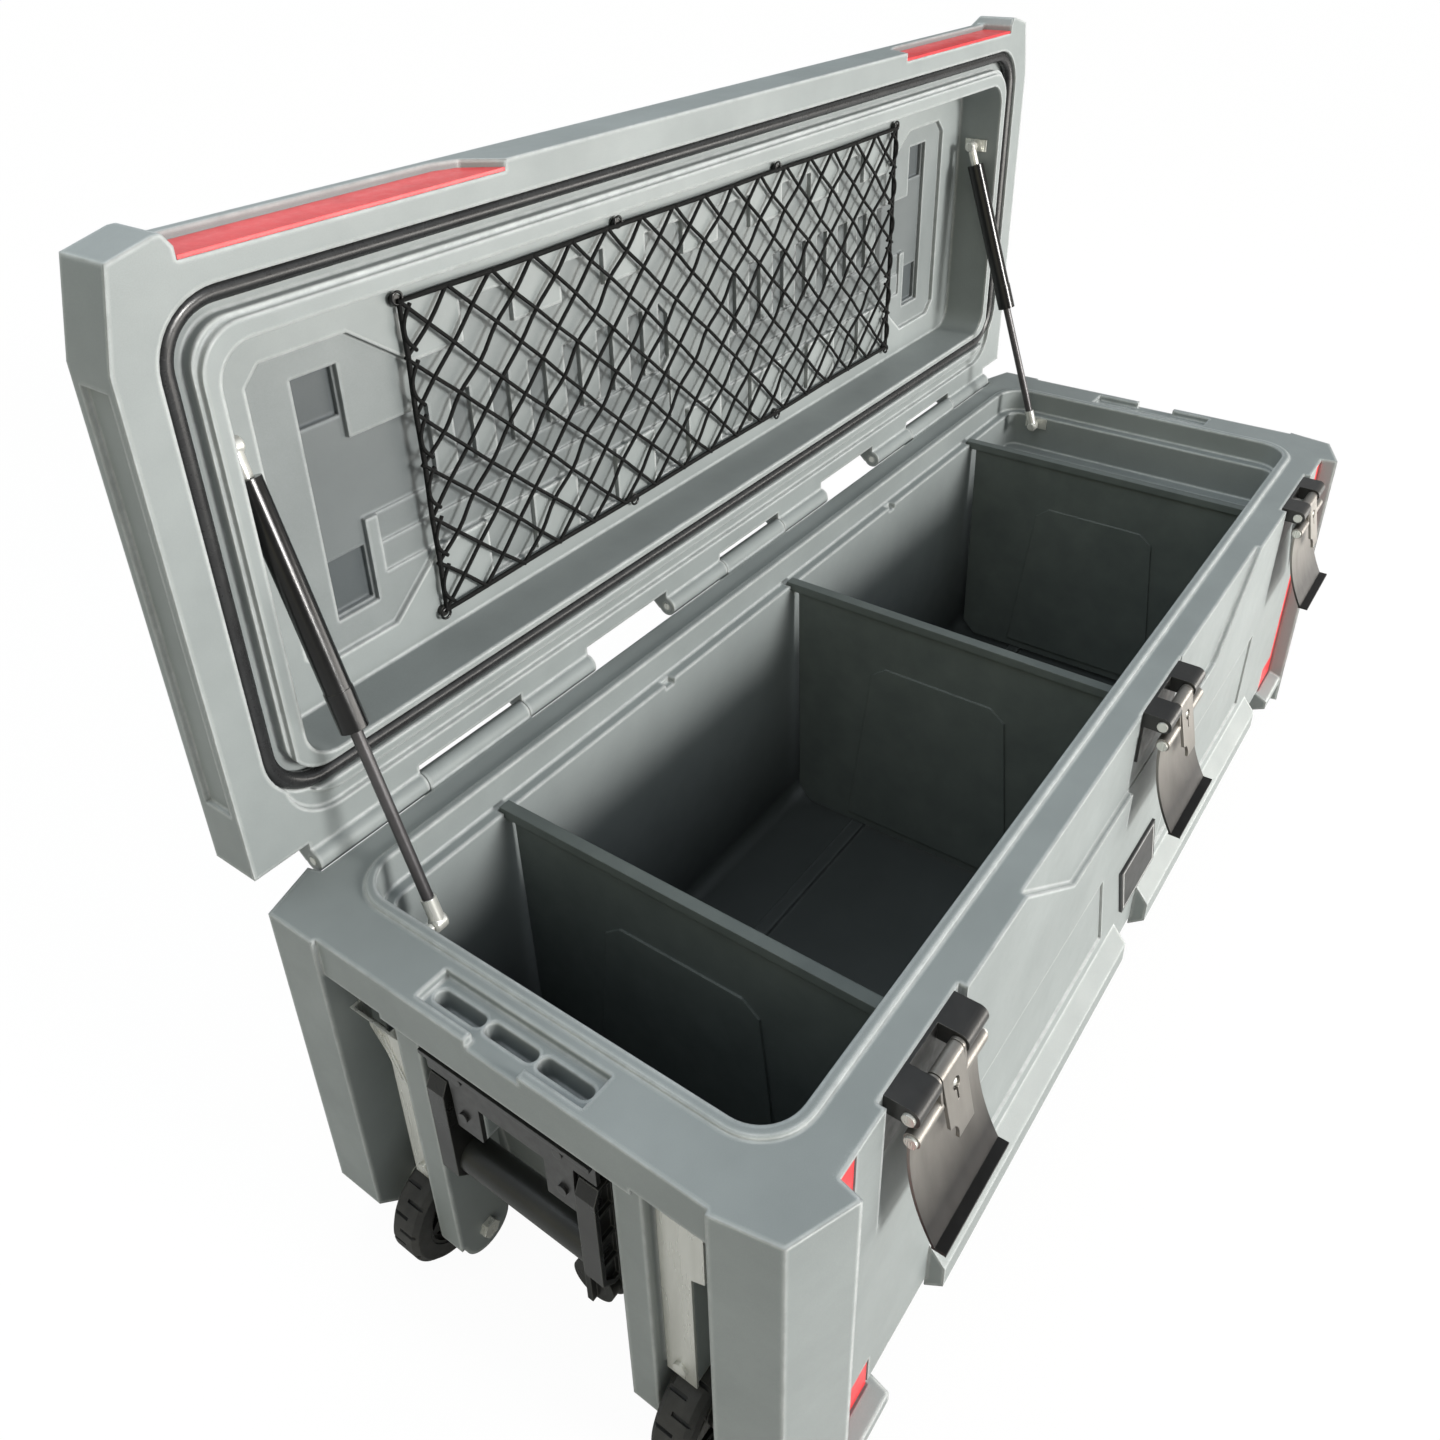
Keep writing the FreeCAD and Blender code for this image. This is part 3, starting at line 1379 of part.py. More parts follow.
def tyre(side):
    y0, y1 = wheel_faces(side)
    middle = (y0 + y1) / 2
    outer = rod_y(wheel_radius, y0, y1, -axle_x, wheel_radius)
    edges = [e for e in outer.Edges if e.Curve.TypeId == "Part::GeomCircle"]
    outer = outer.makeChamfer(tyre_shoulder, edges)
    solid = outer.cut(rod_y(rim_radius, y0 - over, y1 + over, -axle_x, wheel_radius))
    grooves = []
    for index in range(tread_count):
        ends = (y0 - over, middle + tread_groove) if index % 2 else (middle - tread_groove, y1 + over)
        groove = box(-tread_groove / 2, tread_groove / 2, ends[0], ends[1],
                     wheel_radius - tread_depth, wheel_radius + over)
        grooves.append(about_axle(groove, 360 * index / tread_count))
    return solid.cut(grooves)


def rim_window(y0, y1):
    shoulder = spoke_outer_radius - spoke_gap / 2
    return prism([vec(0, y0 - over, spoke_inner_radius), vec(spoke_spread, y0 - over, shoulder),
                  vec(0, y0 - over, spoke_outer_radius), vec(-spoke_spread, y0 - over, shoulder)],
                 vec(0, y1 - y0 + 2 * over, 0))


def rim(side):
    y0, y1 = wheel_faces(side)
    disc = rod_y(rim_radius, y0 + rim_disc_inset, y1 - rim_disc_inset, -axle_x, wheel_radius)
    hub = rod_y(hub_radius, y0, y1, -axle_x, wheel_radius)
    bead = rod_y(rim_radius, y0 + rim_bead_inset, y1 - rim_bead_inset, -axle_x, wheel_radius)
    bead = bead.cut(rod_y(rim_radius - rim_bead, y0, y1, -axle_x, wheel_radius))
    solid = fuse([disc, hub, bead])
    windows = [about_axle(rim_window(y0, y1), 360 * index / spoke_count) for index in range(spoke_count)]
    bore = rod_y(axle_radius + bore_clearance, y0 - over, y1 + over, -axle_x, wheel_radius)
    return solid.cut(windows + [bore])


def hexagon(radius, x, z, y0, y1):
    corners = [(x + radius * math.cos(math.radians(60 * k)), z + radius * math.sin(math.radians(60 * k)))
               for k in range(6)]
    return prism_xz(corners, y0, y1)


def axle_bolts():
    shaft = rod_y(axle_radius, handle_recess_y - over, axle_blind_y - over, -axle_x, wheel_radius)
    head = hexagon(bolt_head_radius, -axle_x, wheel_radius,
                   handle_recess_y - bolt_head_height, handle_recess_y)
    bolt = fuse([shaft, head])
    return [bolt, other_side(bolt)]


def axle_spacers():
    spacers = []
    for y0, y1 in ((pillar_outer_y, wheel_near_y - sleeve_gap),
                   (wheel_near_y + tyre_width + sleeve_gap, post_inner_y)):
        sleeve = rod_y(sleeve_radius, y0, y1, -axle_x, wheel_radius)
        sleeve = sleeve.cut(rod_y(axle_radius, y0 - over, y1 + over, -axle_x, wheel_radius))
        spacers += [sleeve, other_side(sleeve)]
    return spacers


def plain_strap():
    outline = [(-strap_inner_y, strap_top_z), (-strap_wide_outer_y, strap_top_z),
               (-strap_wide_outer_y, strap_step_z + strap_step_rise), (-strap_outer_y, strap_step_z),
               (-strap_outer_y, strap_bottom_z), (-strap_inner_y, strap_bottom_z)]
    return prism_yz(outline, -strap_bed_x - strap_thickness, -strap_bed_x)


def opener_strap():
    outline = [(strap_inner_y, opener_body_top_z), (opener_wide_y, opener_body_top_z),
               (opener_wide_y, opener_body_top_z - opener_taper_drop), (strap_outer_y, opener_taper_z),
               (strap_outer_y, strap_bottom_z), (strap_inner_y, strap_bottom_z)]
    plate = prism_yz(outline, -strap_bed_x - strap_thickness, -strap_bed_x)
    face = -strap_bed_x
    root = opener_body_top_z - over
    lip = prism_xz([(face - strap_thickness, root), (face, root),
                    (face - opener_lip_reach + strap_thickness, opener_body_top_z + opener_lip_rise),
                    (face - opener_lip_reach, opener_body_top_z + opener_lip_rise)],
                   strap_inner_y, opener_wide_y)
    cheek = [(face, root), (face - opener_lip_reach, opener_body_top_z + opener_lip_rise),
             (face, opener_body_top_z + opener_lip_rise)]
    cheeks = [prism_xz(cheek, strap_inner_y, strap_inner_y + strap_thickness),
              prism_xz(cheek, opener_wide_y - strap_thickness, opener_wide_y)]
    return fuse([plate, lip] + cheeks + opener_ribs())


def opener_ribs():
    """Two pressed ribs that run slantwise down the bracket's shoulder."""
    ribs = []
    for step in (0, 1):
        top_y = opener_wide_y - opener_rib_top_inset - step * opener_rib_pitch
        top_z = opener_body_top_z - opener_rib_top_inset
        low_y, low_z = top_y - opener_rib_run, top_z - opener_rib_length
        outline = [(top_y, top_z), (top_y - opener_rib_width, top_z),
                   (low_y - opener_rib_width, low_z), (low_y, low_z)]
        ribs.append(prism_yz(outline, -strap_bed_x - strap_thickness - opener_rib_rise,
                             -strap_bed_x - strap_thickness / 2))
    return ribs


def strap_bolts():
    y = (strap_inner_y + strap_outer_y) / 2
    x = -strap_bed_x - strap_thickness
    bolt = rod_x(strap_bolt_radius, x - strap_bolt_height, x, y, strap_bolt_z)
    return [bolt, other_side(bolt)]


def drain_plug():
    wall = -tub_end_x
    front = wall - drain_reach
    flange = rod_x(drain_flange_radius, wall - drain_flange, wall, drain_y, drain_z)
    cap = rod_x(drain_radius, front, wall - drain_flange + over, drain_y, drain_z)
    stem = rod_x(drain_neck_radius - bore_clearance, wall - over, -inside_lower_half_x - drain_neck_end,
                 drain_y, drain_z)
    wing = box(front - drain_wing, front + over, drain_y - drain_wing / 2, drain_y + drain_wing / 2,
               drain_z - drain_radius + drain_wing_inset, drain_z + drain_radius - drain_wing_inset)
    return fuse([flange, cap, stem, wing])


def dome_bolts():
    domes = []
    for y in (-dome_y, dome_y):
        base = vec(inside_lower_half_x, y, dome_z)
        sphere = (dome_radius ** 2 + dome_height ** 2) / (2 * dome_height)
        ball = Part.makeSphere(sphere, base + vec(sphere - dome_height, 0, 0))
        keep = box(inside_lower_half_x - dome_height - over, inside_lower_half_x,
                   y - dome_radius, y + dome_radius, dome_z - dome_radius, dome_z + dome_radius)
        domes += both_ends(ball.common(keep))
    return domes


def badge_plate():
    y = -wall_y
    return prism_xz([(badge_left_x, badge_low_z), (badge_right_x, badge_low_z),
                     (badge_right_x - badge_slant, badge_high_z),
                     (badge_left_x - badge_slant, badge_high_z)], y - badge_thickness, y)


def main():
    os.makedirs("parts", exist_ok=True)
    export("body_shell", [body_shell()])
    export("lid_shell", [lid_shell()])
    export("lid_seal", [lid_seal()])
    export("hinge_pins", hinge_pins())
    export("body_inserts", red_body_insert())
    export("lid_inserts", red_lid_insert())
    export("cargo_net", [cargo_net()])
    export("net_hooks", net_hooks())
    for number, index in enumerate((-1, 0, 1), 1):
        export("divider_%d" % number, [divider(index)])
        centre = index * latch_spacing
        export("latch_base_%d" % number, [latch_base(centre)])
        export("latch_pin_%d" % number, [latch_pin(centre)])
        export("latch_lever_%d" % number, [lever(centre)])
        export("lever_pin_%d" % number, [lever_pin(centre)])
        export("latch_hook_%d" % number, [hook(centre)])
    for number, side in enumerate((-1, 1), 1):
        export("strut_tube_%d" % number, [strut_tube(side)])
        export("strut_rod_%d" % number, [strut_rod(side)])
        export("strut_head_%d" % number, [strut_head(side)])
        export("strut_foot_%d" % number, [strut_foot(side)])
        export("handle_plate_%d" % number, [handle_plate(side)])
        export("handle_bail_%d" % number, [handle_bail(side)])
        export("handle_grip_%d" % number, [handle_grip(side)])
        export("wheel_tyre_%d" % number, [tyre(side)])
        export("wheel_rim_%d" % number, [rim(side)])
    export("lid_studs", lid_studs())
    export("body_studs", body_studs())
    export("handle_screws", handle_screws())
    export("axle_bolts", axle_bolts())
    export("axle_spacers", axle_spacers())
    export("opener_strap", [opener_strap()])
    export("plain_strap", [plain_strap()])
    export("strap_bolts", strap_bolts())
    export("drain_plug", [drain_plug()])
    export("dome_bolts", dome_bolts())
    export("badge_plate", [badge_plate()])


main()
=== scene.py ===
import json
import math

import bmesh
import bpy
from mathutils import Matrix, Vector


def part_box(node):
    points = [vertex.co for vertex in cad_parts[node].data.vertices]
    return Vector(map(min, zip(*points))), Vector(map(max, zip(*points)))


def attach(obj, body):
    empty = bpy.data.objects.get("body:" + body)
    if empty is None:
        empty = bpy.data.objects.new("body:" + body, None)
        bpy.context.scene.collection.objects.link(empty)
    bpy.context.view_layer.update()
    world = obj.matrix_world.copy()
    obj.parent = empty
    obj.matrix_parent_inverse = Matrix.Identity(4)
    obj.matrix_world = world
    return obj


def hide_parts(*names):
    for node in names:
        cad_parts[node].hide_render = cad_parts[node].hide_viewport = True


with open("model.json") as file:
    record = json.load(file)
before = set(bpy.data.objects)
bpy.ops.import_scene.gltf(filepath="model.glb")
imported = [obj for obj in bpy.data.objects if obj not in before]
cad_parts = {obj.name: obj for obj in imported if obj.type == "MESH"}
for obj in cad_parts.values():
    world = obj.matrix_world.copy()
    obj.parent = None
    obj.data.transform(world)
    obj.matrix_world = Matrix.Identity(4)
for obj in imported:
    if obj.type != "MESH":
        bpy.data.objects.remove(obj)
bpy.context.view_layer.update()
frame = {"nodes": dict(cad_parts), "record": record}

# Places in the part's frame, in metres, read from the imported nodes
NET_LOW, NET_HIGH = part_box("cargo_net")
BADGE_LOW, BADGE_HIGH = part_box("badge_plate")
HOOK_LOW, HOOK_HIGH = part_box("net_hooks")
INSERT_LOW, INSERT_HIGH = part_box("lid_inserts")
MIDDLE_X = (NET_LOW.x + NET_HIGH.x) / 2


# ---------------------------------------------------------------- camera
IMAGE_PIXELS = 1440.0
FOCAL_PIXELS = 1215.5
AXIS_ROW = 560.0
SENSOR = 36.0
CLIP_NEAR, CLIP_FAR = 0.01, 60.0
EYE = Vector((-1.029, -0.461, 1.098))
# The camera was fitted in the frame whose middle is the body's, so the part's own shift is added
BODY_SHIFT = Vector((0.005, -0.02125, 0.0))
YAW = math.radians(-53.558)
PITCH = math.radians(29.988)
ROLL = math.radians(-1.315)


def make_camera():
    """The photograph's own view."""
    back = Vector((math.sin(YAW) * math.cos(PITCH), -math.cos(YAW) * math.cos(PITCH), math.sin(PITCH)))
    right = Vector((0, 0, 1)).cross(back).normalized()
    up = back.cross(right)
    rolled_right = math.cos(ROLL) * right + math.sin(ROLL) * up
    rolled_up = -math.sin(ROLL) * right + math.cos(ROLL) * up
    data = bpy.data.cameras.new("camera")
    data.sensor_width = SENSOR
    data.sensor_fit = "HORIZONTAL"
    data.lens = FOCAL_PIXELS / IMAGE_PIXELS * SENSOR
    data.shift_y = -(IMAGE_PIXELS / 2 - AXIS_ROW) / IMAGE_PIXELS
    data.clip_start = CLIP_NEAR
    data.clip_end = CLIP_FAR
    camera = bpy.data.objects.new("camera", data)
    bpy.context.scene.collection.objects.link(camera)
    turn = Matrix((rolled_right, rolled_up, back)).transposed().to_4x4()
    camera.matrix_world = Matrix.Translation(EYE + BODY_SHIFT) @ turn
    bpy.context.scene.camera = camera


# ---------------------------------------------------------------- colours
def channel(value):
    """One screen value of 0 to 255 as a linear one, by the sRGB curve."""
    value = value / 255.0
    return value / 12.92 if value <= 0.04045 else ((value + 0.055) / 1.055) ** 2.4


def colour(red, green, blue):
    """A colour as seen on screen, in the linear values that the nodes take."""
    return (channel(red), channel(green), channel(blue), 1.0)


# ---------------------------------------------------------------- node trees
# The span that most of a noise texture's values lie in
NOISE_LOW, NOISE_HIGH = 0.3, 0.7
WHITE = (1.0, 1.0, 1.0, 1.0)


class Tree:
    """Short calls for building a node tree."""

    def __init__(self, tree):
        self.tree = tree

    def add(self, kind, **values):
        node = self.tree.nodes.new(kind)
        for key, value in values.items():
            setattr(node, key, value)
        return node

    def link(self, source, target):
        self.tree.links.new(source, target)

    def feed(self, value, socket):
        """A socket is linked, and a plain value is set."""
        if isinstance(value, bpy.types.NodeSocket):
            self.link(value, socket)
        else:
            socket.default_value = value

    def ramp(self, source, first, last, *middle):
        """A colour ramp through stops of (place, colour)."""
        node = self.add("ShaderNodeValToRGB")
        elements = node.color_ramp.elements
        for element, (place, tone) in zip(elements, (first, last)):
            element.position = place
            element.color = tone
        for place, tone in middle:
            elements.new(place).color = tone
        self.link(source, node.inputs["Fac"])
        return node.outputs["Color"]

    def span(self, source, low, high, out_low=0.0, out_high=1.0):
        """The source's span from low to high, stretched to another span."""
        node = self.add("ShaderNodeMapRange")
        node.inputs["From Min"].default_value = low
        node.inputs["From Max"].default_value = high
        node.inputs["To Min"].default_value = out_low
        node.inputs["To Max"].default_value = out_high
        self.link(source, node.inputs["Value"])
        return node.outputs["Result"]

    def maths(self, operation, *values):
        node = self.add("ShaderNodeMath", operation=operation)
        for socket, value in zip(node.inputs, values):
            self.feed(value, socket)
        return node.outputs["Value"]

    def mix(self, factor, first, second, blend="MIX"):
        node = self.add("ShaderNodeMix", data_type="RGBA", blend_type=blend)
        for index, value in ((0, factor), (6, first), (7, second)):
            self.feed(value, node.inputs[index])
        return node.outputs[2]

    def show_camera(self, lit, shown, output, share=1.0):
        """The output shows the lit shader, and to the camera's own rays a share of the shown one over it."""
        path = self.add("ShaderNodeLightPath")
        mixer = self.add("ShaderNodeMixShader")
        self.link(self.maths("MULTIPLY", path.outputs["Is Camera Ray"], share), mixer.inputs["Fac"])
        self.link(lit, mixer.inputs[1])
        self.link(shown, mixer.inputs[2])
        self.link(mixer.outputs["Shader"], output.inputs["Surface"])


class Finish(Tree):
    """The node tree of one material of the object."""

    def __init__(self, name, **settings):
        self.material = bpy.data.materials.new(name)
        self.material.use_nodes = True
        super().__init__(self.material.node_tree)
        self.shader = self.tree.nodes["Principled BSDF"]
        self.place = self.add("ShaderNodeTexCoord").outputs["Object"]
        for socket, value in settings.items():
            self.shader.inputs[socket.replace("_", " ")].default_value = value

    def noise(self, scale, detail=3.0, rough=0.55, stretch=None):
        node = self.add("ShaderNodeTexNoise")
        node.inputs["Scale"].default_value = scale
        node.inputs["Detail"].default_value = detail
        node.inputs["Roughness"].default_value = rough
        place = self.place
        if stretch:
            mapping = self.add("ShaderNodeMapping")
            mapping.inputs["Scale"].default_value = stretch
            self.link(place, mapping.inputs["Vector"])
            place = mapping.outputs["Vector"]
        self.link(place, node.inputs["Vector"])
        return node.outputs["Fac"]

    def tones(self, noise, dark, light):
        """Two tones in a noise's patches."""
        return self.ramp(noise, (NOISE_LOW, dark), (NOISE_HIGH, light))

    def patchy(self, noise, ends):
        """A value that a noise varies from one end to the other."""
        return self.span(noise, NOISE_LOW, NOISE_HIGH, *ends)

    def rounded(self, radius):
        """The surface normal with its edges rounded off over a small radius."""
        node = self.add("ShaderNodeBevel", samples=4)
        node.inputs["Radius"].default_value = radius
        return node.outputs["Normal"]

    def edge_mask(self, radius, low, high):
        """1 on the object's edges and 0 on its faces."""
        geometry = self.add("ShaderNodeNewGeometry")
        dot = self.add("ShaderNodeVectorMath", operation="DOT_PRODUCT")
        self.link(self.rounded(radius), dot.inputs[0])
        self.link(geometry.outputs["Normal"], dot.inputs[1])
        return self.span(dot.outputs["Value"], high, low)

    def inside_box(self, axis, start, end, middle, half):
        """0 outside the box, and within it rising from 0 at start to 1 at end along the axis."""
        split = self.add("ShaderNodeSeparateXYZ")
        self.link(self.place, split.inputs["Vector"])
        result = self.span(split.outputs[axis], start, end)
        for side, centre, reach in zip("XYZ", middle, half):
            away = self.maths("ABSOLUTE", self.maths("SUBTRACT", split.outputs[side], centre))
            result = self.maths("MULTIPLY", result, self.maths("LESS_THAN", away, reach))
        return result

    def darken(self, base, painted_shade):
        """The base under a painted shade, such as the tub's, or as it is where there is none."""
        if not painted_shade:
            return base
        where = {key: value for key, value in painted_shade.items() if key != "tone"}
        return self.mix(self.inside_box(**where), base, painted_shade["tone"], "MULTIPLY")

    def bump(self, height, strength, distance, normal=None):
        node = self.add("ShaderNodeBump")
        node.inputs["Strength"].default_value = strength
        node.inputs["Distance"].default_value = distance
        self.link(height, node.inputs["Height"])
        if normal:
            self.link(normal, node.inputs["Normal"])
        return node.outputs["Normal"]

    def done(self, base, roughness, normal):
        self.link(base, self.shader.inputs["Base Color"])
        self.link(roughness, self.shader.inputs["Roughness"])
        self.link(normal, self.shader.inputs["Normal"])
        return self.material


# ---------------------------------------------------------------- finishes
def moulded_plastic(name, dark, light, edge, radius, grain=1500.0, rough=(0.36, 0.48), painted_shade=None):
    """Rotomoulded polyethylene: a fine orange-peel grain, cloudy tone, and pale edges: a painted highlight of
    their rounding, with a little rub wear.
    """
    n = Finish(name, Specular_IOR_Level=0.42)
    base = n.tones(n.noise(scale=9.0, detail=4.0, rough=0.6), dark, light)
    fine = n.noise(grain, detail=2.0, rough=0.6)
    speck = n.ramp(fine, (0.35, (0.93, 0.93, 0.93, 1.0)), (0.7, (1.05, 1.05, 1.05, 1.0)))
    base = n.mix(1.0, base, speck, "MULTIPLY")
    # Pale edges in patches: a painted highlight of light caught on the rounded edges, with a little rub wear
    scuff_and_highlight_patches = n.patchy(n.noise(scale=60.0, detail=5.0, rough=0.7), (0.5, 1.0))
    edge_wear_and_highlight = n.maths("MULTIPLY", n.edge_mask(radius, low=0.90, high=0.995), scuff_and_highlight_patches)
    # Painted shade where one is given, as in the tub and the lid's hollow
    base = n.darken(n.mix(edge_wear_and_highlight, base, edge), painted_shade)
    roughness = n.patchy(n.noise(scale=24.0, detail=4.0, rough=0.6), rough)
    normal = n.bump(fine, strength=0.18, distance=0.0004, normal=n.rounded(radius))
    normal = n.bump(n.noise(scale=38.0, detail=2.0, rough=0.5), strength=0.10, distance=0.002, normal=normal)
    return n.done(base, roughness, normal)


def smooth_plastic(name, dark, light, radius, rough=(0.3, 0.42), grain=2200.0, strength=0.10):
    """Injection-moulded plastic with a close grain."""
    n = Finish(name)
    base = n.tones(n.noise(scale=20.0, detail=4.0, rough=0.6), dark, light)
    roughness = n.patchy(n.noise(scale=70.0, detail=4.0, rough=0.6), rough)
    fine = n.noise(grain, detail=2.0, rough=0.6)
    normal = n.bump(fine, strength, distance=0.0003, normal=n.rounded(radius))
    return n.done(base, roughness, normal)


def coated_steel(name, dark, light, radius=0.0009, rough=(0.30, 0.44)):
    """A thin dark coat on steel, paler where edges rub."""
    n = Finish(name, Metallic=0.35, Coat_Weight=0.25, Coat_Roughness=0.3)
    base = n.tones(n.noise(scale=30.0, detail=5.0, rough=0.65), dark, light)
    scuff_and_highlight_patches = n.span(n.noise(scale=220.0, detail=4.0, rough=0.7), 0.4, 0.65, out_low=0.0, out_high=0.55)
    edge_wear_and_highlight = n.maths("MULTIPLY", n.edge_mask(radius, low=0.88, high=0.99), scuff_and_highlight_patches)
    base = n.mix(edge_wear_and_highlight, base, colour(150, 148, 144))
    roughness = n.patchy(n.noise(scale=110.0, detail=4.0, rough=0.6), rough)
    grain = n.noise(scale=1400.0, detail=2.0, rough=0.5)
    normal = n.bump(grain, strength=0.10, distance=0.0003, normal=n.rounded(radius))
    return n.done(base, roughness, normal)


def plated_steel(name, dark, light, metal, rough, painted_shade=None):
    """Bare or plated steel: faint drawn streaks and cloudy spangle."""
    n = Finish(name, Metallic=metal)
    stretch = (1.0, 1.0, 0.12)
    base = n.tones(n.noise(scale=60.0, detail=3.0, rough=0.55, stretch=stretch), dark, light)
    # Painted shade where one is given, as on the latch levers
    base = n.darken(base, painted_shade)
    roughness = n.patchy(n.noise(scale=90.0, detail=3.0, rough=0.55, stretch=stretch), rough)
    streaks = n.noise(scale=500.0, detail=2.0, rough=0.5, stretch=stretch)
    normal = n.bump(streaks, strength=0.03, distance=0.0002, normal=n.rounded(0.0009))
    return n.done(base, roughness, normal)


def rubber(name, dark, light, rough, grain, strength):
    n = Finish(name)
    base = n.tones(n.noise(scale=26.0, detail=5.0, rough=0.65), dark, light)
    roughness = n.patchy(n.noise(scale=80.0, detail=4.0, rough=0.6), rough)
    fine = n.noise(grain, detail=3.0, rough=0.6)
    normal = n.bump(fine, strength, distance=0.0004, normal=n.rounded(0.0008))
    return n.done(base, roughness, normal)


def braided(name, dark, light):
    """Knitted elastic cord, its sheath running round the cord in fine crossing ribs."""
    n = Finish(name, Specular_IOR_Level=0.25)
    wave = n.add("ShaderNodeTexWave", wave_type="BANDS", bands_direction="DIAGONAL")
    wave.inputs["Scale"].default_value = 420.0
    wave.inputs["Distortion"].default_value = 1.5
    n.link(n.place, wave.inputs["Vector"])
    ribs = wave.outputs["Fac"]
    base = n.ramp(ribs, (0.2, dark), (0.9, light))
    roughness = n.patchy(n.noise(scale=300.0), (0.6, 0.8))
    return n.done(base, roughness, n.bump(ribs, strength=0.5, distance=0.0005))


def glossy_red(name, dark, light):
    """Shiny coloured plastic."""
    n = Finish(name, Coat_Weight=0.3, Coat_Roughness=0.2)
    base = n.tones(n.noise(scale=30.0, detail=4.0, rough=0.6), dark, light)
    roughness = n.patchy(n.noise(scale=90.0, detail=3.0, rough=0.6), (0.28, 0.42))
    grain = n.noise(scale=900.0, detail=2.0, rough=0.5)
    normal = n.bump(grain, strength=0.08, distance=0.0003, normal=n.rounded(0.0008))
    return n.done(base, roughness, normal)


# Painted shade: places whose tone falls off along one axis, from the start to the end, as shade would: a box
# by its middle and half sizes.
# Painted shade in the inside of the tub, a little into its walls, darker towards the bottom
TUB_PAINTED_SHADE = dict(axis="Z", start=0.30, end=0.06, tone=colour(126, 128, 128),
                 middle=Vector((0.005, -0.01925, 0.2)), half=Vector((0.616, 0.196, 0.165)))
# Painted shade in the lid's hollow as it stands open, whose liner has wells behind its face, darker into the
# wells
LID_PAINTED_SHADE = dict(axis="Y", start=0.2945, end=0.3070, tone=colour(140, 144, 148),
                 middle=Vector((0.005, 0.27, 0.65)), half=Vector((0.62, 0.039, 0.205)))
# The latches as they hang, whose levers darken towards their lips: painted shade for the light's fall-off
# down the levers, and the lips' own darker colour
LATCH_LIPS_AND_PAINTED_SHADE = dict(axis="Z", start=0.335, end=0.275, tone=colour(96, 97, 100),
                   middle=Vector((0.005, -0.29, 0.32)), half=Vector((0.7, 0.06, 0.08)))

# The edge colour is a painted highlight of the rounded edges, with a little rub wear
GREY = dict(dark=colour(132, 138, 138), light=colour(143, 149, 149), edge=colour(222, 226, 226),
            radius=0.0055)

# Each finish: its kind and that kind's settings
RECIPES = {
    "grey_plastic": (moulded_plastic, GREY),
    "grey_body": (moulded_plastic, dict(GREY, painted_shade=TUB_PAINTED_SHADE)),
    "grey_lid": (moulded_plastic, dict(GREY, painted_shade=LID_PAINTED_SHADE)),
    "dark_plastic": (smooth_plastic, dict(dark=colour(84, 91, 90), light=colour(95, 102, 100), radius=0.0018,
                                          rough=(0.36, 0.48), grain=1300.0, strength=0.14)),
    "seal_rubber": (rubber, dict(dark=colour(34, 34, 35), light=colour(44, 45, 46),
                                 rough=(0.22, 0.34), grain=700.0, strength=0.06)),
    "red_plastic": (glossy_red, dict(dark=colour(208, 40, 48), light=colour(228, 56, 62))),
    "net_cord": (braided, dict(dark=colour(3, 3, 3), light=colour(17, 18, 18))),
    # Its edges too carry a paler painted highlight
    "black_plastic": (moulded_plastic, dict(dark=colour(26, 26, 25), light=colour(33, 33, 32),
                                            edge=colour(112, 112, 108), radius=0.0014, grain=1600.0,
                                            rough=(0.24, 0.34))),
    "grip_rubber": (rubber, dict(dark=colour(32, 33, 32), light=colour(42, 43, 41),
                                 rough=(0.30, 0.42), grain=900.0, strength=0.15)),
    "tread_rubber": (rubber, dict(dark=colour(40, 40, 40), light=colour(62, 61, 59),
                                  rough=(0.6, 0.8), grain=700.0, strength=0.4)),
    "black_steel": (coated_steel, dict(dark=colour(40, 40, 40), light=colour(52, 51, 50))),
    "strut_steel": (coated_steel, dict(dark=colour(58, 56, 58), light=colour(74, 72, 74))),
    "satin_steel": (plated_steel, dict(dark=colour(140, 136, 131), light=colour(156, 152, 147), metal=0.8,
                                       rough=(0.34, 0.42), painted_shade=LATCH_LIPS_AND_PAINTED_SHADE)),
    "gloss_black": (coated_steel, dict(dark=colour(18, 18, 19), light=colour(26, 26, 27), radius=0.0006,
                                       rough=(0.14, 0.22))),
    "bright_steel": (plated_steel, dict(dark=colour(206, 206, 200), light=colour(226, 226, 221), metal=0.5,
                                        rough=(0.24, 0.34))),
    "pale_print": (smooth_plastic, dict(dark=colour(214, 215, 214), light=colour(228, 228, 227),
                                        radius=0.0003)),
    "badge_black": (smooth_plastic, dict(dark=colour(34, 34, 35), light=colour(42, 42, 43), radius=0.0008,
                                         rough=(0.34, 0.40), grain=1600.0, strength=0.02)),
}

# Nodes whose finish differs from their record's, by how their names start
OWN_FINISHES = {"latch_lever": "satin_steel", "latch_hook": "satin_steel", "body_shell": "grey_body",
                "lid_shell": "grey_lid", "strut_tube": "gloss_black"}


def make_materials():
    return {name: kind(name, **settings) for name, (kind, settings) in RECIPES.items()}


def dress_nodes(materials):
    """Every node of the frame takes the finish that its record names, or one of its own."""
    slots = {part["node"]: part["material_slot"] for part in frame["record"]["subparts"]}
    for name, node in frame["nodes"].items():
        own = [finish for start, finish in OWN_FINISHES.items() if name.startswith(start)]
        material = materials[own[0] if own else slots[name]]
        if not node.data.materials:
            node.data.materials.append(material)
        for index in range(len(node.data.materials)):
            node.data.materials[index] = material


# ---------------------------------------------------------------- mesh helpers
def add_object(name, mesh):
    piece = bpy.data.objects.new(name, mesh)
    bpy.context.scene.collection.objects.link(piece)
    return piece


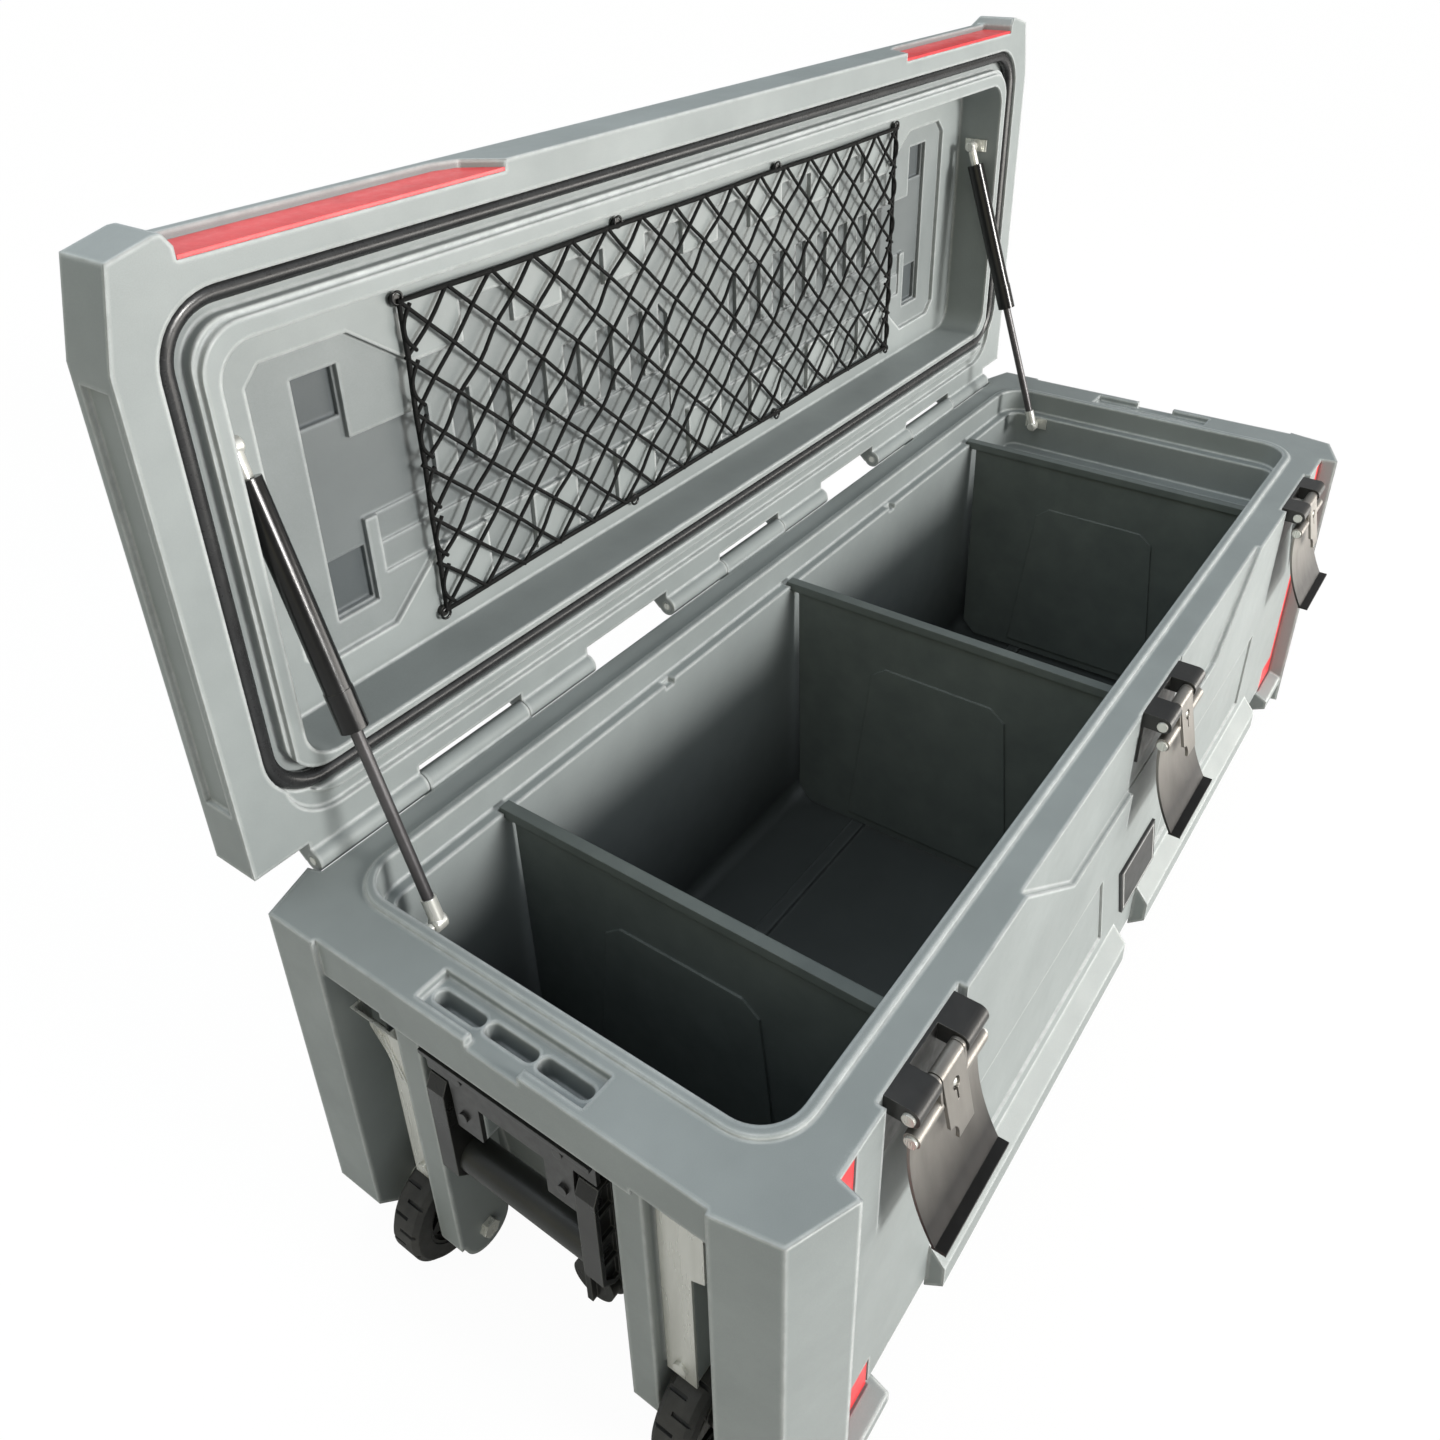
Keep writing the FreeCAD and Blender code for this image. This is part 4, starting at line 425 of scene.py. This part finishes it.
def plain_object(name, verts, faces):
    mesh = bpy.data.meshes.new(name)
    mesh.from_pydata([tuple(v) for v in verts], [], faces)
    mesh.validate()
    return add_object(name, mesh)


def add_mesh(name, verts, faces, material, body, smooth=True):
    """A new piece of the object, riding on a body."""
    piece = plain_object(name, verts, faces)
    if smooth:
        for polygon in piece.data.polygons:
            polygon.use_smooth = True
    piece.data.materials.append(material)
    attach(piece, body)
    return piece


def circle(centre, across, upward, radius, count):
    """Points round a circle."""
    angles = [2 * math.pi * k / count for k in range(count)]
    return [centre + across * (math.cos(a) * radius) + upward * (math.sin(a) * radius) for a in angles]


def ring_faces(start, after, sides):
    """The quads between two rings of vertices, by their first numbers."""
    steps = [(step, (step + 1) % sides) for step in range(sides)]
    return [(start + step, start + other, after + other, after + step) for step, other in steps]


def tube_mesh(points, radius, sides, closed=False):
    """Vertices and faces of a round cord along points."""
    verts, faces = [], []
    count = len(points)
    side_way = None
    for index, point in enumerate(points):
        before = points[index - 1] if index or closed else point
        after = points[(index + 1) % count] if index < count - 1 or closed else point
        along = (after - before).normalized()
        if side_way is None:
            side_way = along.orthogonal().normalized()
        side_way = (side_way - along * side_way.dot(along)).normalized()
        verts += circle(point, side_way, along.cross(side_way), radius, sides)
    for ring in range(count if closed else count - 1):
        faces += ring_faces(ring * sides, ((ring + 1) % count) * sides, sides)
    if not closed:
        faces.append(tuple(reversed(range(sides))))
        faces.append(tuple(range((count - 1) * sides, count * sides)))
    return verts, faces


def gather(parts):
    """One list of vertices and faces from several."""
    verts, faces = [], []
    for part_verts, part_faces in parts:
        offset = len(verts)
        verts += part_verts
        faces += [tuple(i + offset for i in face) for face in part_faces]
    return verts, faces


def smooth_line(points, steps=4):
    """A Catmull-Rom line through points."""
    line = []
    count = len(points)
    for index in range(count - 1):
        p0 = points[max(index - 1, 0)]
        p1, p2 = points[index], points[index + 1]
        p3 = points[min(index + 2, count - 1)]
        for step in range(steps):
            t = step / steps
            line.append(0.5 * ((2 * p1) + (p2 - p0) * t + (2 * p0 - 5 * p1 + 4 * p2 - p3) * t * t
                               + (3 * p1 - p0 - 3 * p2 + p3) * t ** 3))
    line.append(points[-1])
    return line


# ---------------------------------------------------------------- cargo net
CORD_RADIUS = 0.0019
CORD_SIDES = 7
BORDER_RADIUS = 0.0024
BORDER_SIDES = 8
BORDER_STEPS = (24, 12, 24, 12)
BORDER_SLACK = 0.0012
SLACK_WAVES = 3
NET_MARGIN = 0.004
COLUMNS = 16
ROWS = 6
# The crossing cords pass over and under each other, lie a little in front, and stray along the net
WEAVE_LIFT = 0.00084
CORD_FORWARD = 0.0004
STRAY = 0.0022
STRAY_PER_COLUMN = 2.3
STRAY_PER_HALF_ROW = 1.7
EDGE_REACH = 0.001
# A cord's loop round the border's upright side: how far inward, forward and up each point lies
LOOP = ((0.011, 0.0, -0.020), (0.002, 0.002, -0.010), (-0.0006, 0.0022, 0.0),
        (0.002, 0.002, 0.010), (0.011, 0.0, 0.020))


def border_line(x0, x1, y, z0, z1):
    """The border cord's line, drawn in a little between the net's hooks."""
    corners = ((x0, z0), (x1, z0), (x1, z1), (x0, z1))
    inward = ((0, 1), (-1, 0), (0, -1), (1, 0))
    line = []
    for index, steps in enumerate(BORDER_STEPS):
        (ax, az), (bx, bz) = corners[index], corners[(index + 1) % len(corners)]
        for step in range(steps):
            t = step / steps
            slack = BORDER_SLACK * math.sin(SLACK_WAVES * math.pi * t) ** 2
            line.append(Vector((ax + (bx - ax) * t + slack * inward[index][0], y,
                                az + (bz - az) * t + slack * inward[index][1])))
    return line


def crossing_line(start, way, x0, y, z0, step_x, step_z):
    """One slanting cord's points, from the net's lower side up to its upper one or its end."""
    points = []
    for half in range(2 * ROWS + 1):
        column = start + way * half / 2
        if not -EDGE_REACH <= column <= COLUMNS + EDGE_REACH:
            continue
        weave = WEAVE_LIFT * way * (1 if half % 2 == 0 else -1)
        stray = STRAY * math.sin(STRAY_PER_COLUMN * column + STRAY_PER_HALF_ROW * half + way)
        if half in (0, 2 * ROWS):
            stray = 0
        x, z = x0 + column * step_x, z0 + half / 2 * step_z
        points.append(Vector((x + stray, y + weave - CORD_FORWARD, z)))
    return points


def make_net(materials):
    """The elastic net: a taut border cord and two crossing sets of cords that loop round it."""
    y = (NET_LOW.y + NET_HIGH.y) / 2
    x0, x1 = NET_LOW.x + NET_MARGIN, NET_HIGH.x - NET_MARGIN
    z0, z1 = NET_LOW.z + NET_MARGIN, NET_HIGH.z - NET_MARGIN
    step_x = (x1 - x0) / COLUMNS
    step_z = (z1 - z0) / ROWS
    parts = [tube_mesh(border_line(x0, x1, y, z0, z1), BORDER_RADIUS, BORDER_SIDES, True)]
    for way in (1, -1):
        for start in range(-ROWS, COLUMNS + ROWS + 1):
            points = crossing_line(start, way, x0, y, z0, step_x, step_z)
            if len(points) > 1:
                parts.append(tube_mesh(smooth_line(points), CORD_RADIUS, CORD_SIDES))
    for index in range(ROWS):
        z = z0 + (index + 0.5) * step_z
        for x, way in ((x0, 1), (x1, -1)):
            loop = [Vector((x + way * inward, y - forward, z + up)) for inward, forward, up in LOOP]
            parts.append(tube_mesh(smooth_line(loop), CORD_RADIUS, CORD_SIDES))
    verts, faces = gather(parts)
    piece = add_mesh("net_cords", verts, faces, materials["net_cord"], "lid")
    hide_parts("cargo_net")


# ---------------------------------------------------------------- lid front
RIM_Y = 0.23325
RECESS_REACH = 0.0325
RECESS_NEAR_END = 0.330
RECESS_FAR_END = 0.352
RECESS_OVERRUN = 0.002
RECESS_SIDE_GAP = 0.001
CUTTER_HEIGHT = 0.03
MERGE_REACH = 1e-6
SHARP_ANGLE = math.radians(30)

INSERT_THICKNESS = 0.003
INSERT_RIM_GAP = 0.001
INSERT_END_GAP = 0.002
INSERT_CORNER_X = 0.373
INSERT_CORNER_Y = 0.007

# The corner noses' inner walls on the lid's slope. A place's level is its y and z added up, less that sum at
# the wall's top, and the wall leans outward with it
NOSE_HALF = 0.628
NOSE_LEAN = 2 / 3
NOSE_TOP_Y = 0.2834
NOSE_TOP_LEVEL = 1.18925
NOSE_FOOT_LEVEL = -0.0089


def both_sides(points):
    """An outline in x and y, and its twin across the lid's middle, both running the same way round."""
    return points, [(2 * MIDDLE_X - x, y) for x, y in reversed(points)]


def upright_prism(outline, low, high):
    count = len(outline)
    verts = [Vector((x, y, z)) for z in (low, high) for x, y in outline]
    faces = [tuple(reversed(range(count))), tuple(range(count, 2 * count))]
    return verts, faces + ring_faces(0, count, count)


def straighten_nose_walls(verts):
    """Draw the lip that overhangs the lid's slope at each corner nose back onto the nose's inner wall."""
    for vert in verts:
        level = vert.co.y + vert.co.z - NOSE_TOP_LEVEL
        wall = NOSE_HALF + level * NOSE_LEAN
        side = vert.co.x - MIDDLE_X
        if vert.co.y > NOSE_TOP_Y and level > NOSE_FOOT_LEVEL and abs(side) < wall:
            vert.co.x = MIDDLE_X + math.copysign(wall, side)


def recess_cutter():
    """What is cut from the lid so that its insert recesses run out through the rim."""
    low = INSERT_LOW.z
    outer = INSERT_LOW.x - RECESS_SIDE_GAP
    near, far = RIM_Y - RECESS_OVERRUN, RIM_Y + RECESS_REACH
    outline = [(outer, near), (MIDDLE_X - RECESS_NEAR_END, near),
               (MIDDLE_X - RECESS_FAR_END, far), (outer, far)]
    parts = [upright_prism(side, low, low + CUTTER_HEIGHT) for side in both_sides(outline)]
    return plain_object("recess_cutter", *gather(parts))


def mend_lid_mesh(mesh):
    """Join the mesh's faces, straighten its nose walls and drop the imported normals, which no longer fit."""
    work = bmesh.new()
    work.from_mesh(mesh)
    bmesh.ops.remove_doubles(work, verts=work.verts, dist=MERGE_REACH)
    straighten_nose_walls(work.verts)
    bmesh.ops.dissolve_degenerate(work, edges=work.edges, dist=MERGE_REACH)
    work.to_mesh(mesh)
    work.free()
    if "custom_normal" in mesh.attributes:
        mesh.attributes.remove(mesh.attributes["custom_normal"])


def open_insert_recesses(materials):
    """The lid shell with the recesses of its red inserts running out through the rim."""
    cutter = recess_cutter()
    shell = add_object("lid_moulding", frame["nodes"]["lid_shell"].data.copy())
    mend_lid_mesh(shell.data)
    cut = shell.modifiers.new("recess", "BOOLEAN")
    cut.operation = "DIFFERENCE"
    cut.solver = "EXACT"
    cut.object = cutter
    mesh = bpy.data.meshes.new_from_object(shell.evaluated_get(bpy.context.evaluated_depsgraph_get()))
    shell.modifiers.clear()
    shell.data = mesh
    bpy.data.objects.remove(cutter)
    for polygon in mesh.polygons:
        polygon.use_smooth = True
        polygon.material_index = 0
    mesh.set_sharp_from_angle(angle=SHARP_ANGLE)
    mesh.materials.clear()
    mesh.materials.append(materials["grey_lid"])
    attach(shell, "lid")
    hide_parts("lid_shell")


def make_lid_inserts(materials):
    """The red inserts, flat on the recess floors and running to the rim."""
    low = INSERT_LOW.z
    near, far = RIM_Y + INSERT_RIM_GAP, INSERT_HIGH.y
    outline = [(INSERT_LOW.x, near),
               (MIDDLE_X - RECESS_NEAR_END - INSERT_END_GAP, near),
               (MIDDLE_X - RECESS_FAR_END - INSERT_END_GAP, far - INSERT_CORNER_Y),
               (MIDDLE_X - INSERT_CORNER_X, far),
               (INSERT_LOW.x, far)]
    verts, faces = gather([upright_prism(side, low, low + INSERT_THICKNESS) for side in both_sides(outline)])
    piece = add_mesh("lid_insert_plates", verts, faces, materials["red_plastic"], "lid", False)
    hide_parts("lid_inserts")


# ---------------------------------------------------------------- small fittings
EYE_RADIUS = 0.0052
EYE_POINTS = 20
EYE_WIRE_RADIUS = 0.0013
EYE_WIRE_SIDES = 6
EYE_INSET = 0.005
EYE_MIDDLE_REACH = 0.139
EYE_FORWARD = 0.001
EYE_OUTWARD = 0.002

BADGE_SLANT = 0.032
# An inset square to the badge's slanting ends is this much longer when measured across it
SLANT_STRETCH = 1.15
LINE_INSET = 0.004
LINE_WIDTH = 0.0011
LINE_RISE = 0.0004

KEYHOLE_Y = -0.28308
KEYHOLE_Z = 0.367
# Each round head in a keyhole: its finish, its material slot, how deep it sits, its radius and its height
KEYHOLE_HEADS = {"keyhole_seat_%d": ("gloss_black", "black_steel", 0.0012, 0.00502, 0.0008),
                 "keyhole_rivet_%d": ("bright_steel", "bright_steel", 0.0008, 0.0034, 0.0022)}
DOME_RINGS = 4
DOME_SIDES = 16
DOME_CLOSING_SHARE = 0.92


def make_net_rings(materials):
    """The black screw eyes that hold the net's border cord to the lid."""
    parts = []
    reach = (HOOK_HIGH.x - HOOK_LOW.x) / 2 - EYE_INSET
    for x in (-reach, -EYE_MIDDLE_REACH, EYE_MIDDLE_REACH, reach):
        for z in (HOOK_LOW.z + EYE_INSET - EYE_OUTWARD, HOOK_HIGH.z - EYE_INSET + EYE_OUTWARD):
            centre = Vector((MIDDLE_X + x, HOOK_LOW.y - EYE_FORWARD, z))
            ring = circle(centre, Vector((1, 0, 0)), Vector((0, 0, 1)), EYE_RADIUS, EYE_POINTS)
            parts.append(tube_mesh(ring, EYE_WIRE_RADIUS, EYE_WIRE_SIDES, True))
    verts, faces = gather(parts)
    add_mesh("net_screw_eyes", verts, faces, materials["gloss_black"], "lid")


def badge_corners(margin, y):
    """The corners of the badge's slanting outline, drawn in by a margin."""
    corners = []
    for x_side, z_side in ((-1, -1), (1, -1), (1, 1), (-1, 1)):
        z = BADGE_LOW.z + margin if z_side < 0 else BADGE_HIGH.z - margin
        lean = BADGE_SLANT * (BADGE_HIGH.z - z) / (BADGE_HIGH.z - BADGE_LOW.z)
        inset = margin * SLANT_STRETCH
        x = BADGE_LOW.x + inset if x_side < 0 else BADGE_HIGH.x - BADGE_SLANT - inset
        corners.append(Vector((x + lean, y, z)))
    return corners


def make_badge_line(materials):
    """The thin pale line round the bare badge."""
    verts = []
    for y in (BADGE_LOW.y, BADGE_LOW.y - LINE_RISE):
        for margin in (LINE_INSET, LINE_INSET + LINE_WIDTH):
            verts += badge_corners(margin, y)
    back_outer, back_inner, front_outer, front_inner = 0, 4, 8, 12
    faces = (ring_faces(front_outer, front_inner, 4) + ring_faces(back_outer, front_outer, 4)
             + ring_faces(front_inner, back_inner, 4) + ring_faces(back_inner, back_outer, 4))
    add_mesh("badge_line", verts, faces, materials["pale_print"], "body", False)


def dome_mesh(centre, outward, radius, height):
    """A low round head standing on a face."""
    across = outward.orthogonal().normalized()
    other = outward.cross(across)
    verts, faces = [], []
    for ring in range(DOME_RINGS + 1):
        angle = ring / DOME_RINGS * math.pi / 2
        foot = centre + outward * (height * math.sin(angle))
        verts += circle(foot, across, other, radius * math.cos(angle * DOME_CLOSING_SHARE), DOME_SIDES)
    for ring in range(DOME_RINGS):
        faces += ring_faces(ring * DOME_SIDES, (ring + 1) * DOME_SIDES, DOME_SIDES)
    faces.append(tuple(range(DOME_RINGS * DOME_SIDES, (DOME_RINGS + 1) * DOME_SIDES)))
    faces.append(tuple(reversed(range(DOME_SIDES))))
    return verts, faces


def make_hook_caps(materials):
    """The bright rivet that sits in each hook's keyhole, on its dark seat."""
    outward = Vector((0, -1, 0))
    for number in (1, 2, 3):
        low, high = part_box("latch_hook_%d" % number)
        centre = Vector(((low.x + high.x) / 2, KEYHOLE_Y, KEYHOLE_Z))
        for name, (finish, slot, depth, radius, height) in KEYHOLE_HEADS.items():
            verts, faces = dome_mesh(centre - outward * depth, outward, radius, height)
            add_mesh(name % number, verts, faces, materials[finish], "hook_%d" % number)


# ---------------------------------------------------------------- stage
FLOOR_REACH = 24.0
FLOOR_DROP = 0.0005
FLOOR_COLOUR = (0.62, 0.61, 0.60, 1.0)
FLOOR_ROUGHNESS = 0.9
# The camera sees this much of a white glow over the floor, which leaves the shadow a little to show in
GLOW_SHARE = 0.93
GLOW_STRENGTH = 1.035

SKY_STRENGTH = 0.70
# Tones at shares of the way up from straight below to straight above
GROUND = (0.30, (0.22, 0.205, 0.165, 1.0))
HORIZON = (0.56, (0.295, 0.285, 0.250, 1.0))
SKY = (0.86, (1.0, 1.06, 1.12, 1.0))
PATCH_SCALE = 1.7
PATCH_DETAIL = 1.0
DIM_PATCH = (0.40, (0.45, 0.45, 0.45, 1.0))
BRIGHT_PATCH = (0.62, (1.55, 1.55, 1.55, 1.0))


def make_floor():
    """A floor that the camera sees as white but for the object's shadow."""
    reach = FLOOR_REACH
    corners = ((-reach, -reach, 0), (reach, -reach, 0), (reach, reach, 0), (-reach, reach, 0))
    floor = plain_object("floor", corners, [(0, 1, 2, 3)])
    floor.location.z = -FLOOR_DROP
    material = bpy.data.materials.new("floor")
    material.use_nodes = True
    nodes = Tree(material.node_tree)
    shader = nodes.tree.nodes["Principled BSDF"]
    shader.inputs["Base Color"].default_value = FLOOR_COLOUR
    shader.inputs["Roughness"].default_value = FLOOR_ROUGHNESS
    glow = nodes.add("ShaderNodeEmission")
    glow.inputs["Color"].default_value = WHITE
    glow.inputs["Strength"].default_value = GLOW_STRENGTH
    nodes.show_camera(shader.outputs["BSDF"], glow.outputs["Emission"],
                      nodes.tree.nodes["Material Output"], GLOW_SHARE)
    floor.data.materials.append(material)


def make_world():
    """White to the camera, and for the light a patchy cool sky over a warm dim ground."""
    world = bpy.data.worlds.new("world")
    bpy.context.scene.world = world
    world.use_nodes = True
    nodes = Tree(world.node_tree)
    way = nodes.add("ShaderNodeTexCoord").outputs["Generated"]
    split = nodes.add("ShaderNodeSeparateXYZ")
    nodes.link(way, split.inputs["Vector"])
    height = nodes.ramp(nodes.span(split.outputs["Z"], -1.0, 1.0), GROUND, SKY, HORIZON)
    patches = nodes.add("ShaderNodeTexNoise")
    patches.inputs["Scale"].default_value = PATCH_SCALE
    patches.inputs["Detail"].default_value = PATCH_DETAIL
    nodes.link(way, patches.inputs["Vector"])
    patchwork = nodes.ramp(patches.outputs["Fac"], DIM_PATCH, BRIGHT_PATCH)
    sky = nodes.tree.nodes["Background"]
    sky.inputs["Strength"].default_value = SKY_STRENGTH
    nodes.link(nodes.mix(1.0, height, patchwork, "MULTIPLY"), sky.inputs["Color"])
    white = nodes.add("ShaderNodeBackground")
    white.inputs["Color"].default_value = WHITE
    nodes.show_camera(sky.outputs["Background"], white.outputs["Background"],
                      nodes.tree.nodes["World Output"])


def add_lamp(name, kind, energy, tint, way):
    """A lamp that shines against the way given."""
    data = bpy.data.lights.new(name, kind)
    data.energy = energy
    data.color = tint
    lamp = add_object(name, data)
    lamp.rotation_euler = way.to_track_quat("Z", "Y").to_euler()
    return lamp


def add_sun(name, way, strength, spread, tint):
    add_lamp(name, "SUN", strength, tint, way).data.angle = spread


def add_panel(name, place, target, size, power, tint):
    """A soft box that the camera doesn't see."""
    lamp = add_lamp(name, "AREA", power, tint, place - target)
    lamp.location = place
    lamp.data.shape = "RECTANGLE"
    lamp.data.size, lamp.data.size_y = size
    lamp.visible_camera = False


def make_lights():
    add_sun("key", way=Vector((0.12, -0.97, 0.22)), strength=3.2, spread=0.25, tint=(1.0, 0.98, 0.945))
    add_panel("front", place=Vector((1.15, -1.75, 0.15)), target=Vector((0.60, -0.25, 0.2)),
              size=(2.4, 0.9), power=48.0, tint=(1.0, 0.96, 0.90))
    add_panel("top", place=Vector((-0.3, 0.9, 2.6)), target=Vector((0.1, 0.1, 0.4)),
              size=(2.2, 1.0), power=22.0, tint=(0.86, 0.95, 1.0))
    add_sun("fill", way=Vector((-0.93, -0.15, 0.30)), strength=0.60, spread=1.2, tint=(1.0, 0.94, 0.62))


# ---------------------------------------------------------------- the scene
bpy.context.scene.view_settings.view_transform = "Standard"
make_camera()
make_world()
make_lights()
make_floor()
MATERIALS = make_materials()
dress_nodes(MATERIALS)
make_net(MATERIALS)
make_net_rings(MATERIALS)
make_badge_line(MATERIALS)
make_hook_caps(MATERIALS)
open_insert_recesses(MATERIALS)
make_lid_inserts(MATERIALS)
